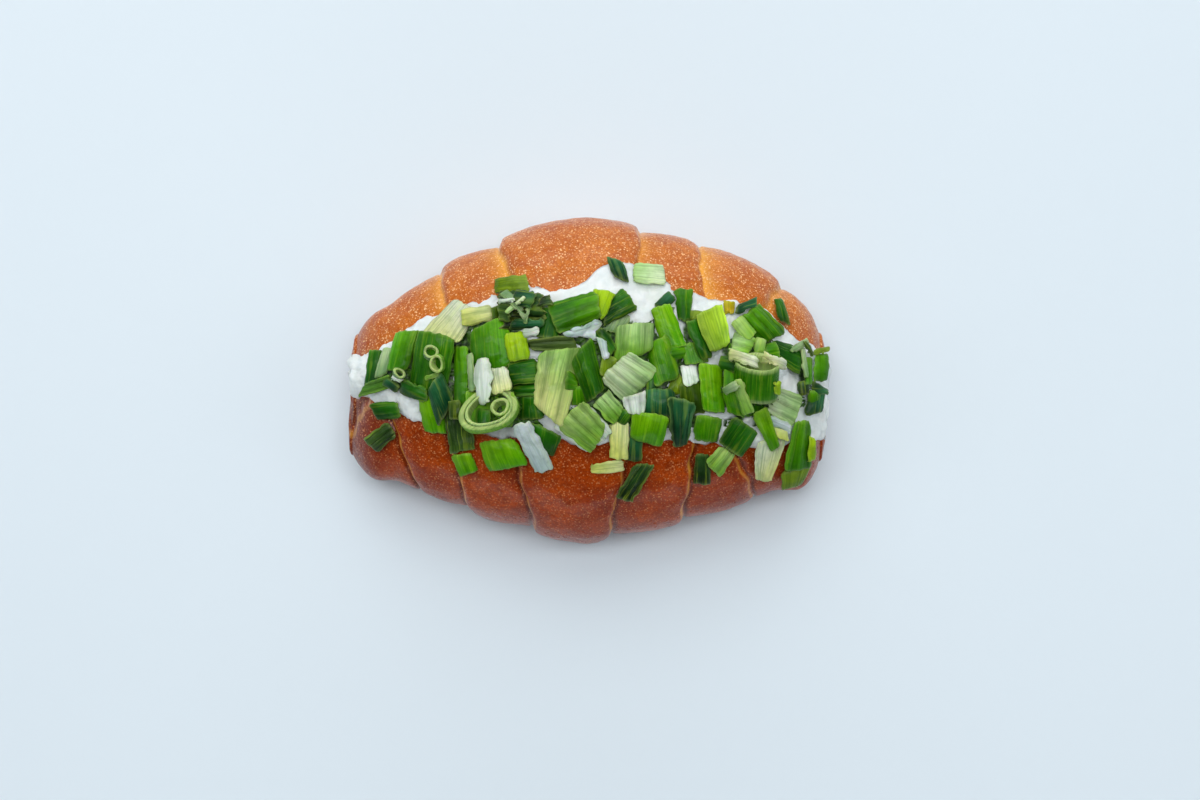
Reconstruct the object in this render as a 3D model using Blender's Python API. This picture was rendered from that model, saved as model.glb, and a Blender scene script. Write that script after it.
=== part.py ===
"""Salt bread: a ridged crescent bun, slit along its top, filled and heaped with cut scallions.

The origin is at the middle of the flat underside, +X along the bun and +Z up.
Sizes below are in millimetres and become metres when a mesh is made.
"""

import math
import random

import bmesh
import bpy
import numpy as np
from mathutils import Vector
from mathutils.bvhtree import BVHTree

MM = 0.001
BACK = 1
FRONT = -1

# The bun: a blunt-ended envelope, wider in front at its ends than behind.
HALF_LENGTH = 70.0
ENVELOPE_HALF = 71.0
HALF_WIDTH = 47.0
HEIGHT = 46.5
WIDEST_HEIGHT = 17.0
HEIGHT_POWERS = (2.0, 0.33)
WIDTH_POWERS = {
    (BACK, -1): (1.5, 0.50),
    (BACK, 1): (1.5, 0.385),
    (FRONT, -1): (1.2, 0.345),
    (FRONT, 1): (1.2, 0.278),
}
SIDE_ROUNDNESS = 0.9
BOTTOM_FLATNESS = 0.55
BOTTOM_PRESS = 1.06
END_LIFT = 5.0
# Each corner is fuller than the envelope: by how much, from which distance along the bun,
# and over what length.
CORNERS = {
    (BACK, -1): (2.8, 57.0, 9.0),
    (BACK, 1): (0.8, 57.0, 9.0),
    (FRONT, -1): (4.6, 54.0, 10.0),
    (FRONT, 1): (5.3, 54.0, 12.0),
}
# A rounded end: how far each ring draws in, and how far it reaches past the last station.
BREAD_END = ((0.3, 0.6), (1.0, 1.0))
CREAM_END = ((0.5, 0.9), (1.5, 1.6))
NOSE_REACH = 1.6
NOSE_FROM = 9.0
LEFT_SHORTER = 1.3
STATIONS = 54
END_CROWDING = 0.35
LOW_STEPS = 4
HIGH_STEPS = 8
GROOVE_STEPS = 6

# Rolled layers: where each crease meets the outline, how far it leans towards the slit
# per millimetre climbed, and how far each layer between two creases stands out.
CREASES = {
    BACK: ((-43.0, 0.28), (-25.5, 0.30), (15.5, -0.08), (32.5, 0.06), (57.0, -0.60)),
    FRONT: ((-70.1, 0.30), (-49.0, -0.39), (-34.0, -0.23), (-15.0, -0.23), (6.5, 0.21),
            (28.0, 0.11), (49.0, -0.40)),
}
LAYER_RISE = {
    BACK: (-1.2, -0.6, 1.0, 0.2, 0.8, 0.0),
    FRONT: (-0.4, 0.6, -0.4, 0.2, 1.0, 0.4, -0.2, 0.6),
}
MIDDLE_LAYER = {BACK: 2, FRONT: 4}
CREASE_DEPTH = 1.7
CREASE_BLEND = 0.9

# The slit, open at both ends and wider at the right one.
SLIT_MIDDLE = 3.8
SLIT_HALF = 18.0
SLIT_HALF_LEFT = 2.6
SLIT_HALF_RIGHT = 10.0
SLIT_FLOOR = 15.0
SLIT_TAPER = 0.4
LIP_ROUND = 1.8
# Where the back lip comes further in: middle along the bun, reach and amount.
LIP_PINCHES = ((-57.5, 5.0, 1.8), (61.0, 3.5, 2.2))

# The cream cheese stands over the lips and spreads a little over the crust.
GAP = 0.35
CREAM_RISE = 5.0
CREAM_SPREAD = 1.6
CREAM_EDGE = 0.9
CREAM_STEPS = 7
SMEAR_AT = 9.0
SMEAR_WIDTH = 12.0
SMEAR_REACH = 6.5

# Scallions.
WALL = 0.9
RASTER_STEP = 0.5
RASTER_HALF_X = 76.0
RASTER_HALF_Y = 52.0
STEEPEST = 0.5
FLEX = 0.8
REST_SHARE = 0.7
SINK = 0.35
RING_SINK = 1.6
RING_SIDES = 12
RING_FLATNESS = 0.8
END_SHIFT = 2.6
CORE_ENDS = (-62.0, 66.5)
CORE_STATIONS = 24
CORE_STEPS = 5
CORE_SHARE = 1.0
CORE_UNDER = 0.8
SEED = 11

# Form of a scallion piece: degrees of arc across its fibres, positive with the outside up.
LEAF, FLAT, ARCH, BOWL, TIP = 55.0, 18.0, 135.0, -105.0, 40.0

# Pieces from the lowest to the highest: x, y, length along the fibres, width, heading in
# degrees, and form. They lie as the heap shows them from above.
UNDER = (
    (-59.0, 4.0, 8.5, 4.0, 76, LEAF),
    (-56.0, 4.0, 8.5, 4.2, 75, FLAT),
    (-51.5, 7.5, 10.0, 7.0, 70, LEAF),
    (-35.0, 1.0, 15.0, 6.0, 95, LEAF),
    (-43.5, -9.5, 10.0, 7.5, 100, LEAF),
    (-34.8, -12.5, 9.5, 7.5, 95, FLAT),
    (-37.5, 16.0, 11.0, 8.5, 30, ARCH),
    (-29.5, 17.0, 8.0, 5.5, 10, LEAF),
    (-24.8, 18.3, 4.5, 3.6, 40, FLAT),
    (-20.3, 25.8, 8.3, 4.4, 5, LEAF),
    (-10.4, 14.1, 8.3, 6.0, 100, LEAF),
    (10.0, 15.8, 12.4, 8.5, 30, FLAT),
    (9.4, 21.0, 8.3, 7.2, 35, LEAF),
    (3.3, 21.0, 7.7, 4.2, 95, ARCH),
    (-11.2, -15.9, 8.6, 8.0, -30, LEAF),
    (-15.1, -7.9, 7.4, 6.0, -60, LEAF),
    (-16.2, -3.2, 7.4, 4.4, -10, LEAF),
    (24.8, -1.3, 6.0, 4.6, 60, FLAT),
    (28.7, -4.9, 7.0, 7.6, 20, LEAF),
    (28.4, 0.6, 6.0, 5.0, 95, FLAT),
    (29.5, 7.2, 6.0, 6.4, 95, LEAF),
    (39.2, 19.7, 4.2, 3.6, 0, FLAT),
    (63.2, -6.5, 7.4, 4.6, 95, LEAF),
    (60.0, -2.2, 4.6, 4.2, 90, LEAF),
    (54.8, -7.9, 11.5, 8.0, 150, FLAT),
    (50.2, -21.0, 12.8, 8.5, 75, BOWL),
    (13.5, -18.6, 6.0, 5.0, 90, LEAF),
    (21.0, -6.3, 8.0, 10.0, 95, LEAF),
    (9.1, -16.6, 9.9, 5.8, 90, FLAT),
)
MIDDLE = (
    (-42.5, 5.5, 15.5, 12.0, 70, LEAF),
    (-58.0, -2.6, 11.5, 4.2, 14, BOWL),
    (-48.3, -3.0, 9.5, 5.0, -20, ARCH),
    (-51.5, 2.0, 4.6, 3.4, 60, ARCH),
    (-26.4, 10.0, 12.5, 10.0, 100, LEAF),
    (-9.3, 9.4, 12.5, 5.4, 0, BOWL),
    (-3.0, 18.3, 12.8, 8.4, 12, ARCH),
    (21.5, 21.2, 6.0, 3.4, 45, ARCH),
    (26.8, 20.6, 8.3, 5.6, 80, ARCH),
    (22.4, 13.9, 11.6, 6.2, 112, LEAF),
    (30.8, 11.1, 11.0, 3.0, 117, ARCH),
    (34.7, 14.1, 11.6, 10.0, 60, BOWL),
    (48.0, 15.2, 13.2, 8.8, 150, LEAF),
    (44.0, 20.0, 7.0, 3.0, 28, ARCH),
    (-17.6, 1.7, 8.4, 6.4, 0, LEAF),
    (-8.0, -0.4, 16.0, 11.0, 85, LEAF),
    (-4.6, -0.2, 5.2, 4.0, 10, LEAF),
    (21.5, 4.8, 12.7, 7.6, 100, LEAF),
    (17.1, -13.1, 8.0, 10.6, 82, LEAF),
    (26.2, -11.2, 12.8, 7.4, 85, FLAT),
    (13.6, 10.5, 10.6, 10.4, 90, ARCH),
    (1.1, 2.6, 15.4, 7.8, 105, LEAF),
    (6.7, -1.0, 8.0, 7.4, -50, FLAT),
    (-0.8, -13.4, 13.4, 10.5, -40, LEAF),
    (5.6, -7.1, 7.2, 6.4, -40, LEAF),
    (35.0, -2.1, 12.8, 8.4, 97, LEAF),
    (40.3, -2.4, 5.0, 4.6, 30, ARCH),
    (43.0, -5.7, 9.6, 6.4, 110, ARCH),
    (41.1, 8.9, 8.6, 8.0, 60, LEAF),
    (51.4, 0.4, 7.7, 4.4, 80, LEAF),
    (53.2, -12.0, 7.0, 3.4, -20, FLAT),
    (33.1, -13.4, 7.2, 7.6, 83, LEAF),
    (55.2, 6.1, 9.6, 8.4, -20, LEAF),
    (41.9, -15.3, 9.2, 8.8, 55, LEAF),
    (57.8, -18.4, 14.0, 7.6, 80, LEAF),
    (61.0, 2.6, 8.6, 3.6, 92, ARCH),
    (64.2, 2.6, 8.0, 5.4, 85, LEAF),
    (64.0, 7.4, 4.6, 3.4, 10, LEAF),
    (63.8, -2.4, 6.0, 3.8, -25, TIP),
)
UPPER = (
    (-43.3, 8.2, 4.6, 3.4, 30, ARCH),
    (-40.4, 5.6, 5.0, 4.4, -20, ARCH),
    (-40.4, -5.0, 14.6, 7.0, 80, TIP),
    (-17.6, 20.0, 12.8, 9.6, 20, LEAF),
    (-19.0, 9.2, 8.4, 6.4, 85, LEAF),
    (-0.4, 14.1, 10.5, 4.2, 22, FLAT),
    (5.4, 10.6, 7.2, 3.4, -52, LEAF),
    (13.8, 1.5, 11.0, 10.5, 130, FLAT),
    (13.2, -6.2, 6.6, 4.2, 70, FLAT),
    (-28.3, 0.0, 11.8, 5.0, 92, FLAT),
    (-23.6, -0.8, 7.8, 6.4, 60, FLAT),
    (-14.4, -17.2, 16.5, 4.6, -62, FLAT),
    (49.2, -14.0, 13.4, 3.8, 118, TIP),
)
# Hollow cuts: x, y, length, outer width, inner width, heading, and tilt in degrees.
RINGS = (
    (-25.8, -8.2, 4.4, 15.0, 10.6, 0, 78),
    (46.6, 0.6, 12.5, 9.6, 7.4, 90, 28),
)
# Pieces lying by themselves on the crust and on the smear of cream.
STRAYS = (
    (-57.2, -16.0, 10.5, 5.6, 35, FLAT),
    (-55.0, -8.5, 9.0, 4.2, 0, LEAF),
    (-33.8, -23.2, 6.5, 6.0, 80, LEAF),
    (-23.1, -20.4, 8.5, 10.5, 98, LEAF),
    (6.0, -24.8, 9.2, 3.4, 8, FLAT),
    (13.4, -29.0, 12.6, 6.4, 52, LEAF),
    (32.4, -24.4, 9.5, 5.0, 95, LEAF),
    (37.6, -22.2, 8.6, 5.4, 57, FLAT),
    (58.2, -27.0, 7.0, 7.4, 80, LEAF),
    (8.6, 30.0, 8.8, 4.6, 115, TIP),
    (17.4, 29.0, 8.0, 9.4, 0, FLAT),
    (55.6, 20.2, 8.3, 3.0, 105, ARCH),
)

CRUST_BROWN = (0.36, 0.12, 0.03, 1.0)
CREAM_WHITE = (0.82, 0.84, 0.80, 1.0)
SCALLION_GREEN = (0.08, 0.28, 0.02, 1.0)


def clear_scene():
    for item in list(bpy.data.objects):
        bpy.data.objects.remove(item, do_unlink=True)


def ease(value):
    value = min(1.0, max(0.0, value))
    return value * value * (3.0 - 2.0 * value)


def material(name, colour, roughness):
    made = bpy.data.materials.new(name)
    made.use_nodes = True
    shader = made.node_tree.nodes["Principled BSDF"]
    shader.inputs["Base Color"].default_value = colour
    shader.inputs["Roughness"].default_value = roughness
    shader.inputs["Metallic"].default_value = 0.0
    made.diffuse_color = colour
    return made


def mesh_object(name, points, faces, look=None):
    mesh = bpy.data.meshes.new(name)
    mesh.from_pydata([Vector(p) * MM for p in points], [], faces)
    shape = bmesh.new()
    shape.from_mesh(mesh)
    bmesh.ops.recalc_face_normals(shape, faces=shape.faces)
    bmesh.ops.triangulate(shape, faces=shape.faces, ngon_method="EAR_CLIP")
    if shape.calc_volume(signed=True) < 0:
        bmesh.ops.reverse_faces(shape, faces=shape.faces)
    shape.to_mesh(mesh)
    shape.free()
    item = bpy.data.objects.new(name, mesh)
    bpy.context.scene.collection.objects.link(item)
    if look:
        mesh.materials.append(look)
    return item


def loft(rings, caps):
    """Quads between rings of equal length, closed by one face at each end."""
    size = len(rings[0])
    points = [p for ring in rings for p in ring]
    faces = []
    for k in range(len(rings) - 1):
        for j in range(size):
            a = k * size + j
            b = k * size + (j + 1) % size
            faces.append((a, b, b + size))
            faces.append((a, b + size, a + size))
    if caps:
        faces.append(tuple(reversed(range(size))))
        faces.append(tuple(range(len(points) - size, len(points))))
    return points, faces


# ---------------------------------------------------------------- the bun


def half_width(x, side):
    end = (side, 1 if x > 0 else -1)
    across, root = WIDTH_POWERS[end]
    fuller, start, over = CORNERS[end]
    envelope = HALF_WIDTH * (1.0 - abs(x / ENVELOPE_HALF) ** across) ** root
    return envelope + fuller * ease((abs(x) - start) / over)


def crown_height(x):
    along, root = HEIGHT_POWERS
    return HEIGHT * (1.0 - abs(x / ENVELOPE_HALF) ** along) ** root


def slit_middle(x):
    u = x / HALF_LENGTH
    return SLIT_MIDDLE - (8.5 * u ** 3 if u > 0 else 2.5 * u * u)


def slit_half(x):
    u = x / HALF_LENGTH
    if u > 0:
        return SLIT_HALF_RIGHT + (SLIT_HALF - SLIT_HALF_RIGHT) * (1.0 - u ** 4)
    return SLIT_HALF_LEFT + (SLIT_HALF - SLIT_HALF_LEFT) * (1.0 + u ** 3) ** 1.5


def back_pinch(x):
    return sum(amount * math.exp(-((x - middle) / reach) ** 2) for middle, reach, amount in LIP_PINCHES)


def layer_offset(x, inward, side):
    """How far the rolled layer at x stands out, inward being the distance from the outline."""
    edges = [place + lean * inward for place, lean in CREASES[side]]
    rises = LAYER_RISE[side]
    index = sum(x > edge for edge in edges)
    low = edges[index - 1] if index else -HALF_LENGTH - 4.0
    high = edges[index] if index < len(edges) else HALF_LENGTH + 4.0
    t = min(1.0, max(0.0, (x - low) / max(high - low, 1e-6)))
    if index < MIDDLE_LAYER[side]:
        t = 1.0 - t
    if index == MIDDLE_LAYER[side]:
        swell = (1.0 - abs(2.0 * t - 1.0) ** 5) ** 0.5
    else:
        swell = (1.0 - (1.0 - t) ** 2.2) * (1.0 - t ** 9) ** 0.5
    rise = rises[index]
    for k, edge in enumerate(edges):
        near = ease(0.5 + 0.5 * (x - edge) / CREASE_BLEND)
        if abs(x - edge) < CREASE_BLEND:
            rise = rises[k] + (rises[k + 1] - rises[k]) * near
    return rise + CREASE_DEPTH * (swell - 1.0)


def outline_point(x, angle, side):
    """A point of the bun's section: angle -90 is its lowest point, 0 its widest."""
    width = half_width(x, side)
    top = crown_height(x)
    lift = END_LIFT * abs(x / HALF_LENGTH) ** 8
    widest = min(WIDEST_HEIGHT, 0.55 * top + 0.3 * lift)
    cosine, sine = math.cos(angle), math.sin(angle)
    y = width * abs(cosine) ** SIDE_ROUNDNESS
    if sine < 0:
        drop = min(1.0, BOTTOM_PRESS * abs(sine) ** BOTTOM_FLATNESS)
        z = widest - (widest - lift) * drop
    else:
        z = widest + (top - widest) * sine ** 0.95
    fade = ease((angle + 1.25) / 0.9)
    reach = math.hypot(y, z - widest)
    offset = layer_offset(x, max(0.0, width - y) if sine > 0 else 0.0, side)
    offset *= fade * min(1.0, reach / 12.0)
    scale = 1.0 + offset / max(reach, 1.0)
    y *= scale
    z = widest + (z - widest) * scale
    z = max(z, 0.0)
    along = x
    if side == FRONT and x < 0:
        along -= NOSE_REACH * ease(-x / HALF_LENGTH * 5.0 - 4.0) * ease((y - NOSE_FROM) / 10.0)
    return (along, side * y, z)


def angle_at(x, y, side):
    """The section angle above the widest height where the bun is y wide."""
    low, high = 0.0, math.pi / 2
    for _ in range(40):
        middle = (low + high) / 2
        if outline_point(x, middle, side)[1] * side > y:
            low = middle
        else:
            high = middle
    return low


def lip(x, side):
    """Section angle, y and z of the edge where the slit meets the crust."""
    y = side * slit_middle(x) + slit_half(x)
    if side == BACK:
        y -= back_pinch(x)
    limit = 0.74 * half_width(x, side)
    angle = angle_at(x, min(y + LIP_ROUND, limit), side)
    edge = outline_point(x, angle, side)
    return angle, edge[1] - side * LIP_ROUND, edge[2]


def groove(x):
    """The cut faces, from the back lip down and up to the front lip."""
    _, y_back, z_back = lip(x, BACK)
    _, y_front, z_front = lip(x, FRONT)
    floor = min(SLIT_FLOOR, 0.5 * min(z_back, z_front))
    middle = (y_back + y_front) / 2
    half = (y_back - y_front) / 2
    points = []
    for k in range(GROOVE_STEPS + 1):
        turn = math.pi * k / GROOVE_STEPS
        edge = (z_back if turn < math.pi / 2 else z_front) - 1.6
        y = middle + half * math.cos(turn) * (1.0 - SLIT_TAPER * math.sin(turn))
        z = edge - (edge - floor) * math.sin(turn) ** 0.7
        points.append((x, y, z))
    return points


def crust_side(x, side, low_steps, high_steps):
    """Points from the middle of the underside out and up to the lip."""
    top = lip(x, side)[0]
    angles = [-math.pi / 2 * (1.0 - k / low_steps) for k in range(low_steps)]
    angles += [top * k / high_steps for k in range(high_steps + 1)]
    return [outline_point(x, angle, side) for angle in angles]


def bread_ring(x):
    back = crust_side(x, BACK, LOW_STEPS, HIGH_STEPS)
    front = crust_side(x, FRONT, LOW_STEPS, HIGH_STEPS)
    return back + groove(x) + list(reversed(front[1:]))


def shifted_ring(ring, inset, along):
    """The ring moved inwards in its own plane, for a rounded end."""
    size = len(ring)
    area = sum(ring[k - 1][1] * ring[k][2] - ring[k][1] * ring[k - 1][2] for k in range(size))
    turn = 1.0 if area > 0 else -1.0
    moved = []
    for k in range(size):
        before, here, after = ring[k - 1], ring[k], ring[(k + 1) % size]
        ty, tz = after[1] - before[1], after[2] - before[2]
        length = math.hypot(ty, tz) or 1.0
        y = here[1] - turn * tz / length * inset
        z = here[2] + turn * ty / length * inset
        moved.append((here[0] + along, y, z))
    return moved


def stations(end):
    """Where the sections are, closer together towards the ends, with room for their rounding."""
    right = HALF_LENGTH - end[-1][1]
    left = LEFT_SHORTER - right
    places = []
    for k in range(STATIONS):
        t = k / (STATIONS - 1)
        t -= END_CROWDING * math.sin(2.0 * math.pi * t) / (2.0 * math.pi)
        places.append(left + (right - left) * t)
    return places


def with_ends(rings, end):
    left = [shifted_ring(rings[0], inset, -reach) for inset, reach in reversed(end)]
    right = [shifted_ring(rings[-1], inset, reach) for inset, reach in end]
    return left + rings + right


def make_bread():
    rings = with_ends([bread_ring(x) for x in stations(BREAD_END)], BREAD_END)
    points, faces = loft(rings, caps=True)
    return mesh_object("bread", points, faces, material("crust", CRUST_BROWN, 0.3))


# ---------------------------------------------------------------- the cream cheese


def cream_reach(x, side):
    """How far the cream spreads over the crust beyond the lip."""
    waves = 0.5 * math.sin(0.31 * x + side) + 0.4 * math.sin(0.73 * x + 2.0 * side)
    reach = CREAM_SPREAD + waves
    if side == BACK:
        reach += SMEAR_REACH * ease(1.0 - abs(x - SMEAR_AT) / SMEAR_WIDTH)
    return max(0.6, reach) * (1.0 - 0.6 * abs(x / HALF_LENGTH) ** 4)


def crust_height(x, y, side):
    """The crust's height y out from the middle, with the ridges close by."""
    near = [x + step for step in (-2.0, -1.0, 0.0, 1.0, 2.0)]
    return max(outline_point(at, angle_at(at, y, side), side)[2] for at in near)


def cream_over(x, side):
    """Underside points from the edge of the spread in to the lip."""
    angle, lip_y, _ = lip(x, side)
    lip_out = abs(outline_point(x, angle, side)[1])
    points = []
    for share in (1.0, 0.5, 0.0):
        y = lip_out + share * cream_reach(x, side)
        points.append((x, side * y, crust_height(x, y, side) + GAP + 0.1))
    points.append((x, lip_y - side * GAP, points[-1][2] - 0.8))
    return points


def cream_top(x, start, end):
    """The mounded surface from one edge of the spread to the other."""
    rise = CREAM_RISE * (1.0 - 0.45 * (x / HALF_LENGTH) ** 2)
    points = []
    for k in range(CREAM_STEPS + 1):
        t = k / CREAM_STEPS
        v = 2.0 * t - 1.0
        y = start[1] + (end[1] - start[1]) * t
        base = start[2] + (end[2] - start[2]) * t
        lumps = 0.7 * math.sin(0.37 * x + 0.3 * y) * math.sin(0.23 * y + 1.0)
        edge = (1.0 - abs(v) ** 3)
        points.append((x, y, base + CREAM_EDGE + (rise + lumps) * edge))
    return points


def cream_ring(x):
    back = cream_over(x, BACK)
    front = cream_over(x, FRONT)
    inner = groove(x)
    under = []
    for k in range(1, len(inner) - 1):
        before, here, after = inner[k - 1], inner[k], inner[k + 1]
        ty, tz = after[1] - before[1], after[2] - before[2]
        length = math.hypot(ty, tz)
        under.append((x, here[1] + tz / length * GAP, here[2] - ty / length * GAP))
    lowest = back + under + list(reversed(front))
    return lowest + list(reversed(cream_top(x, back[0], front[0])))


def make_cream():
    rings = with_ends([cream_ring(x) for x in stations(CREAM_END)], CREAM_END)
    points, faces = loft(rings, caps=True)
    return mesh_object("cream_cheese", points, faces, material("cream", CREAM_WHITE, 0.5))


# ---------------------------------------------------------------- the scallions


class Relief:
    """Heights over a grid, with the bare food below and the heap so far above it."""

    def __init__(self, solids):
        self.nx = int(2 * RASTER_HALF_X / RASTER_STEP) + 1
        self.ny = int(2 * RASTER_HALF_Y / RASTER_STEP) + 1
        trees = [BVHTree.FromObject(item, bpy.context.evaluated_depsgraph_get()) for item in solids]
        self.ground = np.full((self.nx, self.ny), -1e3)
        down = Vector((0.0, 0.0, -1.0))
        for i in range(self.nx):
            x = (i * RASTER_STEP - RASTER_HALF_X) * MM
            for j in range(self.ny):
                y = (j * RASTER_STEP - RASTER_HALF_Y) * MM
                for tree in trees:
                    hit = tree.ray_cast(Vector((x, y, 0.1)), down)[0]
                    if hit:
                        self.ground[i, j] = max(self.ground[i, j], hit.z / MM)
        self.heap = self.ground.copy()

    def cell(self, x, y):
        i = int(round((x + RASTER_HALF_X) / RASTER_STEP))
        j = int(round((y + RASTER_HALF_Y) / RASTER_STEP))
        return min(self.nx - 1, max(0, i)), min(self.ny - 1, max(0, j))

    def highest(self, field, x, y, around=1):
        i, j = self.cell(x, y)
        return field[max(0, i - around):i + around + 1, max(0, j - around):j + around + 1].max()

    def stamp(self, x, y, z, alone):
        i, j = self.cell(x, y)
        self.heap[i, j] = max(self.heap[i, j], z)
        if alone:
            self.ground[i, j] = max(self.ground[i, j], z)


def bow(v, width, arc):
    """Height of a bent sheet over its edges, v across it from -1 to 1."""
    if abs(arc) < 1.0:
        return 0.0
    half = math.radians(abs(arc)) / 2
    radius = width / 2 / math.sin(half)
    angle = v * half
    height = radius * math.cos(angle) - radius * math.cos(half)
    return height if arc > 0 else -height


def across(v, width, arc):
    half = math.radians(max(abs(arc), 1.0)) / 2
    return width / 2 * math.sin(v * half) / math.sin(half)


def narrowing(u, arc):
    return 1.0 - 0.88 * max(0.0, u) ** 1.5 if arc == TIP else 1.0


def sheet_point(piece, u, v, bend):
    """Place and own height of a sheet's underside, u along its fibres from -1 to 1."""
    x, y, length, width, heading, arc = piece
    x += END_SHIFT * (x / HALF_LENGTH) ** 3
    turn = math.radians(heading)
    along = u * length / 2
    side = across(v, width * narrowing(u, arc), arc)
    px = x + along * math.cos(turn) - side * math.sin(turn)
    py = y + along * math.sin(turn) + side * math.cos(turn)
    return px, py, bow(v, width * narrowing(u, arc), arc) + bend * (1.0 - u * u)


def settle(relief, piece, bend):
    """Rest a sheet on what lies under it: a tilted plane, then a little flexing."""
    grid = [(i / 2.0 - 1.0, j / 2.0 - 1.0) for i in range(5) for j in range(5)]
    rows, wanted, floor = [], [], []
    for u, v in grid:
        px, py, own = sheet_point(piece, u, v, bend)
        below = relief.highest(relief.heap, px, py)
        bare = relief.highest(relief.ground, px, py)
        if below < -100.0:
            continue
        rows.append((1.0, u, v))
        wanted.append(below - own)
        floor.append(bare + GAP + 0.1 - own)
    rows, wanted, floor = np.array(rows), np.array(wanted), np.array(floor)
    level, slope_u, slope_v = np.linalg.lstsq(rows, wanted, rcond=None)[0]
    limit_u, limit_v = STEEPEST * piece[2] / 2, STEEPEST * piece[3] / 2
    slope_u = max(-limit_u, min(limit_u, slope_u))
    slope_v = max(-limit_v, min(limit_v, slope_v))
    plane = rows @ np.array((0.0, slope_u, slope_v))
    level = max(np.quantile(wanted - plane, REST_SHARE) - SINK, np.max(floor - plane))
    return level, slope_u, slope_v


def flexed(relief, piece, rest, bend, u, v):
    """Height of the sheet's underside at u, v, lifted where the heap stands higher."""
    px, py, own = sheet_point(piece, u, v, bend)
    plane = rest[0] + rest[1] * u + rest[2] * v + own
    below = relief.highest(relief.heap, px, py)
    return px, py, plane + FLEX * min(2.5, max(0.0, below - plane))


def sheet_steps(piece):
    """Facets along and across a sheet."""
    arc = piece[5]
    wide = 3 if abs(arc) > 90 else 2
    long = 2 if piece[2] > 11.0 or arc == TIP else 1
    return long, wide


def lay_sheet(relief, piece, bend, alone=False):
    """Points and faces of one settled sheet, which is then part of the relief."""
    rest = settle(relief, piece, bend)
    long, wide = sheet_steps(piece)
    lower = []
    for i in range(long + 1):
        for j in range(wide + 1):
            u, v = 2.0 * i / long - 1.0, 2.0 * j / wide - 1.0
            lower.append(flexed(relief, piece, rest, bend, u, v))
    upper = [(x, y, z + WALL) for x, y, z in lower]
    mark_top(relief, lower, long, wide, alone)
    row = wide + 1
    count = len(lower)
    faces = []
    for i in range(long):
        for j in range(wide):
            a = i * row + j
            faces.append((a, a + 1, a + row + 1, a + row))
            faces.append((count + a, count + a + row, count + a + row + 1, count + a + 1))
    rim = [j for j in range(row)]
    rim += [i * row + wide for i in range(1, long + 1)]
    rim += [long * row + j for j in range(wide - 1, -1, -1)]
    rim += [i * row for i in range(long - 1, 0, -1)]
    for k, a in enumerate(rim):
        b = rim[(k + 1) % len(rim)]
        faces.append((a, b, count + b, count + a))
    return lower + upper, faces


def mark_top(relief, lower, long, wide, alone):
    """Write a sheet's upper face into the relief."""
    row = wide + 1
    for i in range(long):
        for j in range(wide):
            a = i * row + j
            corners = [np.array(lower[k]) for k in (a, a + 1, a + row, a + row + 1)]
            steps = 2 + int(max(np.ptp(np.array(corners), axis=0)[:2]) / (0.7 * RASTER_STEP))
            for s in np.linspace(0.0, 1.0, steps):
                for t in np.linspace(0.0, 1.0, steps):
                    near = corners[0] * (1 - t) + corners[1] * t
                    far = corners[2] * (1 - t) + corners[3] * t
                    x, y, z = near * (1 - s) + far * s
                    relief.stamp(x, y, z + WALL, alone)


def lay_ring(relief, ring):
    """A short hollow cut, standing or leaning on what lies under it."""
    sides = RING_SIDES
    x, y, length, outer, inner, heading, tilt = ring
    x += END_SHIFT * (x / HALF_LENGTH) ** 3
    turn, lean = math.radians(heading), math.radians(tilt)
    axis = Vector((math.cos(turn) * math.cos(lean), math.sin(turn) * math.cos(lean), math.sin(lean)))
    side = Vector((-math.sin(turn), math.cos(turn), 0.0))
    over = axis.cross(side)
    circles = []
    for end in (-0.5, 0.5):
        for width in (outer, inner):
            circle = []
            for k in range(sides):
                angle = 2.0 * math.pi * k / sides
                spread = side * (math.cos(angle) * width / 2)
                spread += over * (math.sin(angle) * width / 2 * RING_FLATNESS)
                circle.append(Vector((x, y, 0.0)) + axis * (end * length) + spread)
            circles.append(circle)
    points = [p for circle in circles for p in circle]
    lift = max(relief.highest(relief.ground, p.x, p.y) + GAP + 0.2 - p.z for p in points)
    under = [relief.highest(relief.heap, p.x, p.y) - p.z for p in circles[0]]
    lift = max(lift, float(np.quantile(under, REST_SHARE)) - RING_SINK)
    points = [(p.x, p.y, p.z + lift) for p in points]
    for p in points:
        relief.stamp(*p, False)
    faces = []
    for k in range(sides):
        n = (k + 1) % sides
        for a, b in ((0, 2), (3, 1), (1, 0), (2, 3)):
            faces.append((a * sides + k, a * sides + n, b * sides + n, b * sides + k))
    return points, faces


def core_mesh(relief):
    """The mass under the pieces: it follows the cream below and their tops above."""
    blurred = relief.heap.copy()
    reach = 4
    total, weight = np.zeros_like(blurred), 0
    for i in range(-reach, reach + 1, 2):
        for j in range(-reach, reach + 1, 2):
            total += np.roll(np.roll(blurred, i, axis=0), j, axis=1)
            weight += 1
    blurred = total / weight
    rings = []
    for k in range(CORE_STATIONS):
        t = k / (CORE_STATIONS - 1)
        x = CORE_ENDS[0] + (CORE_ENDS[1] - CORE_ENDS[0]) * t
        half = CORE_SHARE * slit_half(x) * (0.35 + 0.65 * min(1.0, 6.0 * min(t, 1.0 - t)))
        lower, upper = [], []
        for j in range(CORE_STEPS + 1):
            y = slit_middle(x) + half * (2.0 * j / CORE_STEPS - 1.0)
            base = relief.highest(relief.ground, x, y, around=4) + GAP
            i_cell, j_cell = relief.cell(x, y)
            lower.append((x, y, base))
            upper.append((x, y, max(base + 0.9, blurred[i_cell, j_cell] - CORE_UNDER)))
        rings.append(lower + list(reversed(upper)))
    return loft(rings, caps=True)


def scallion_bends(count, seed):
    draw = random.Random(seed)
    return [draw.uniform(-0.15, 0.55) for _ in range(count)]


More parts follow.
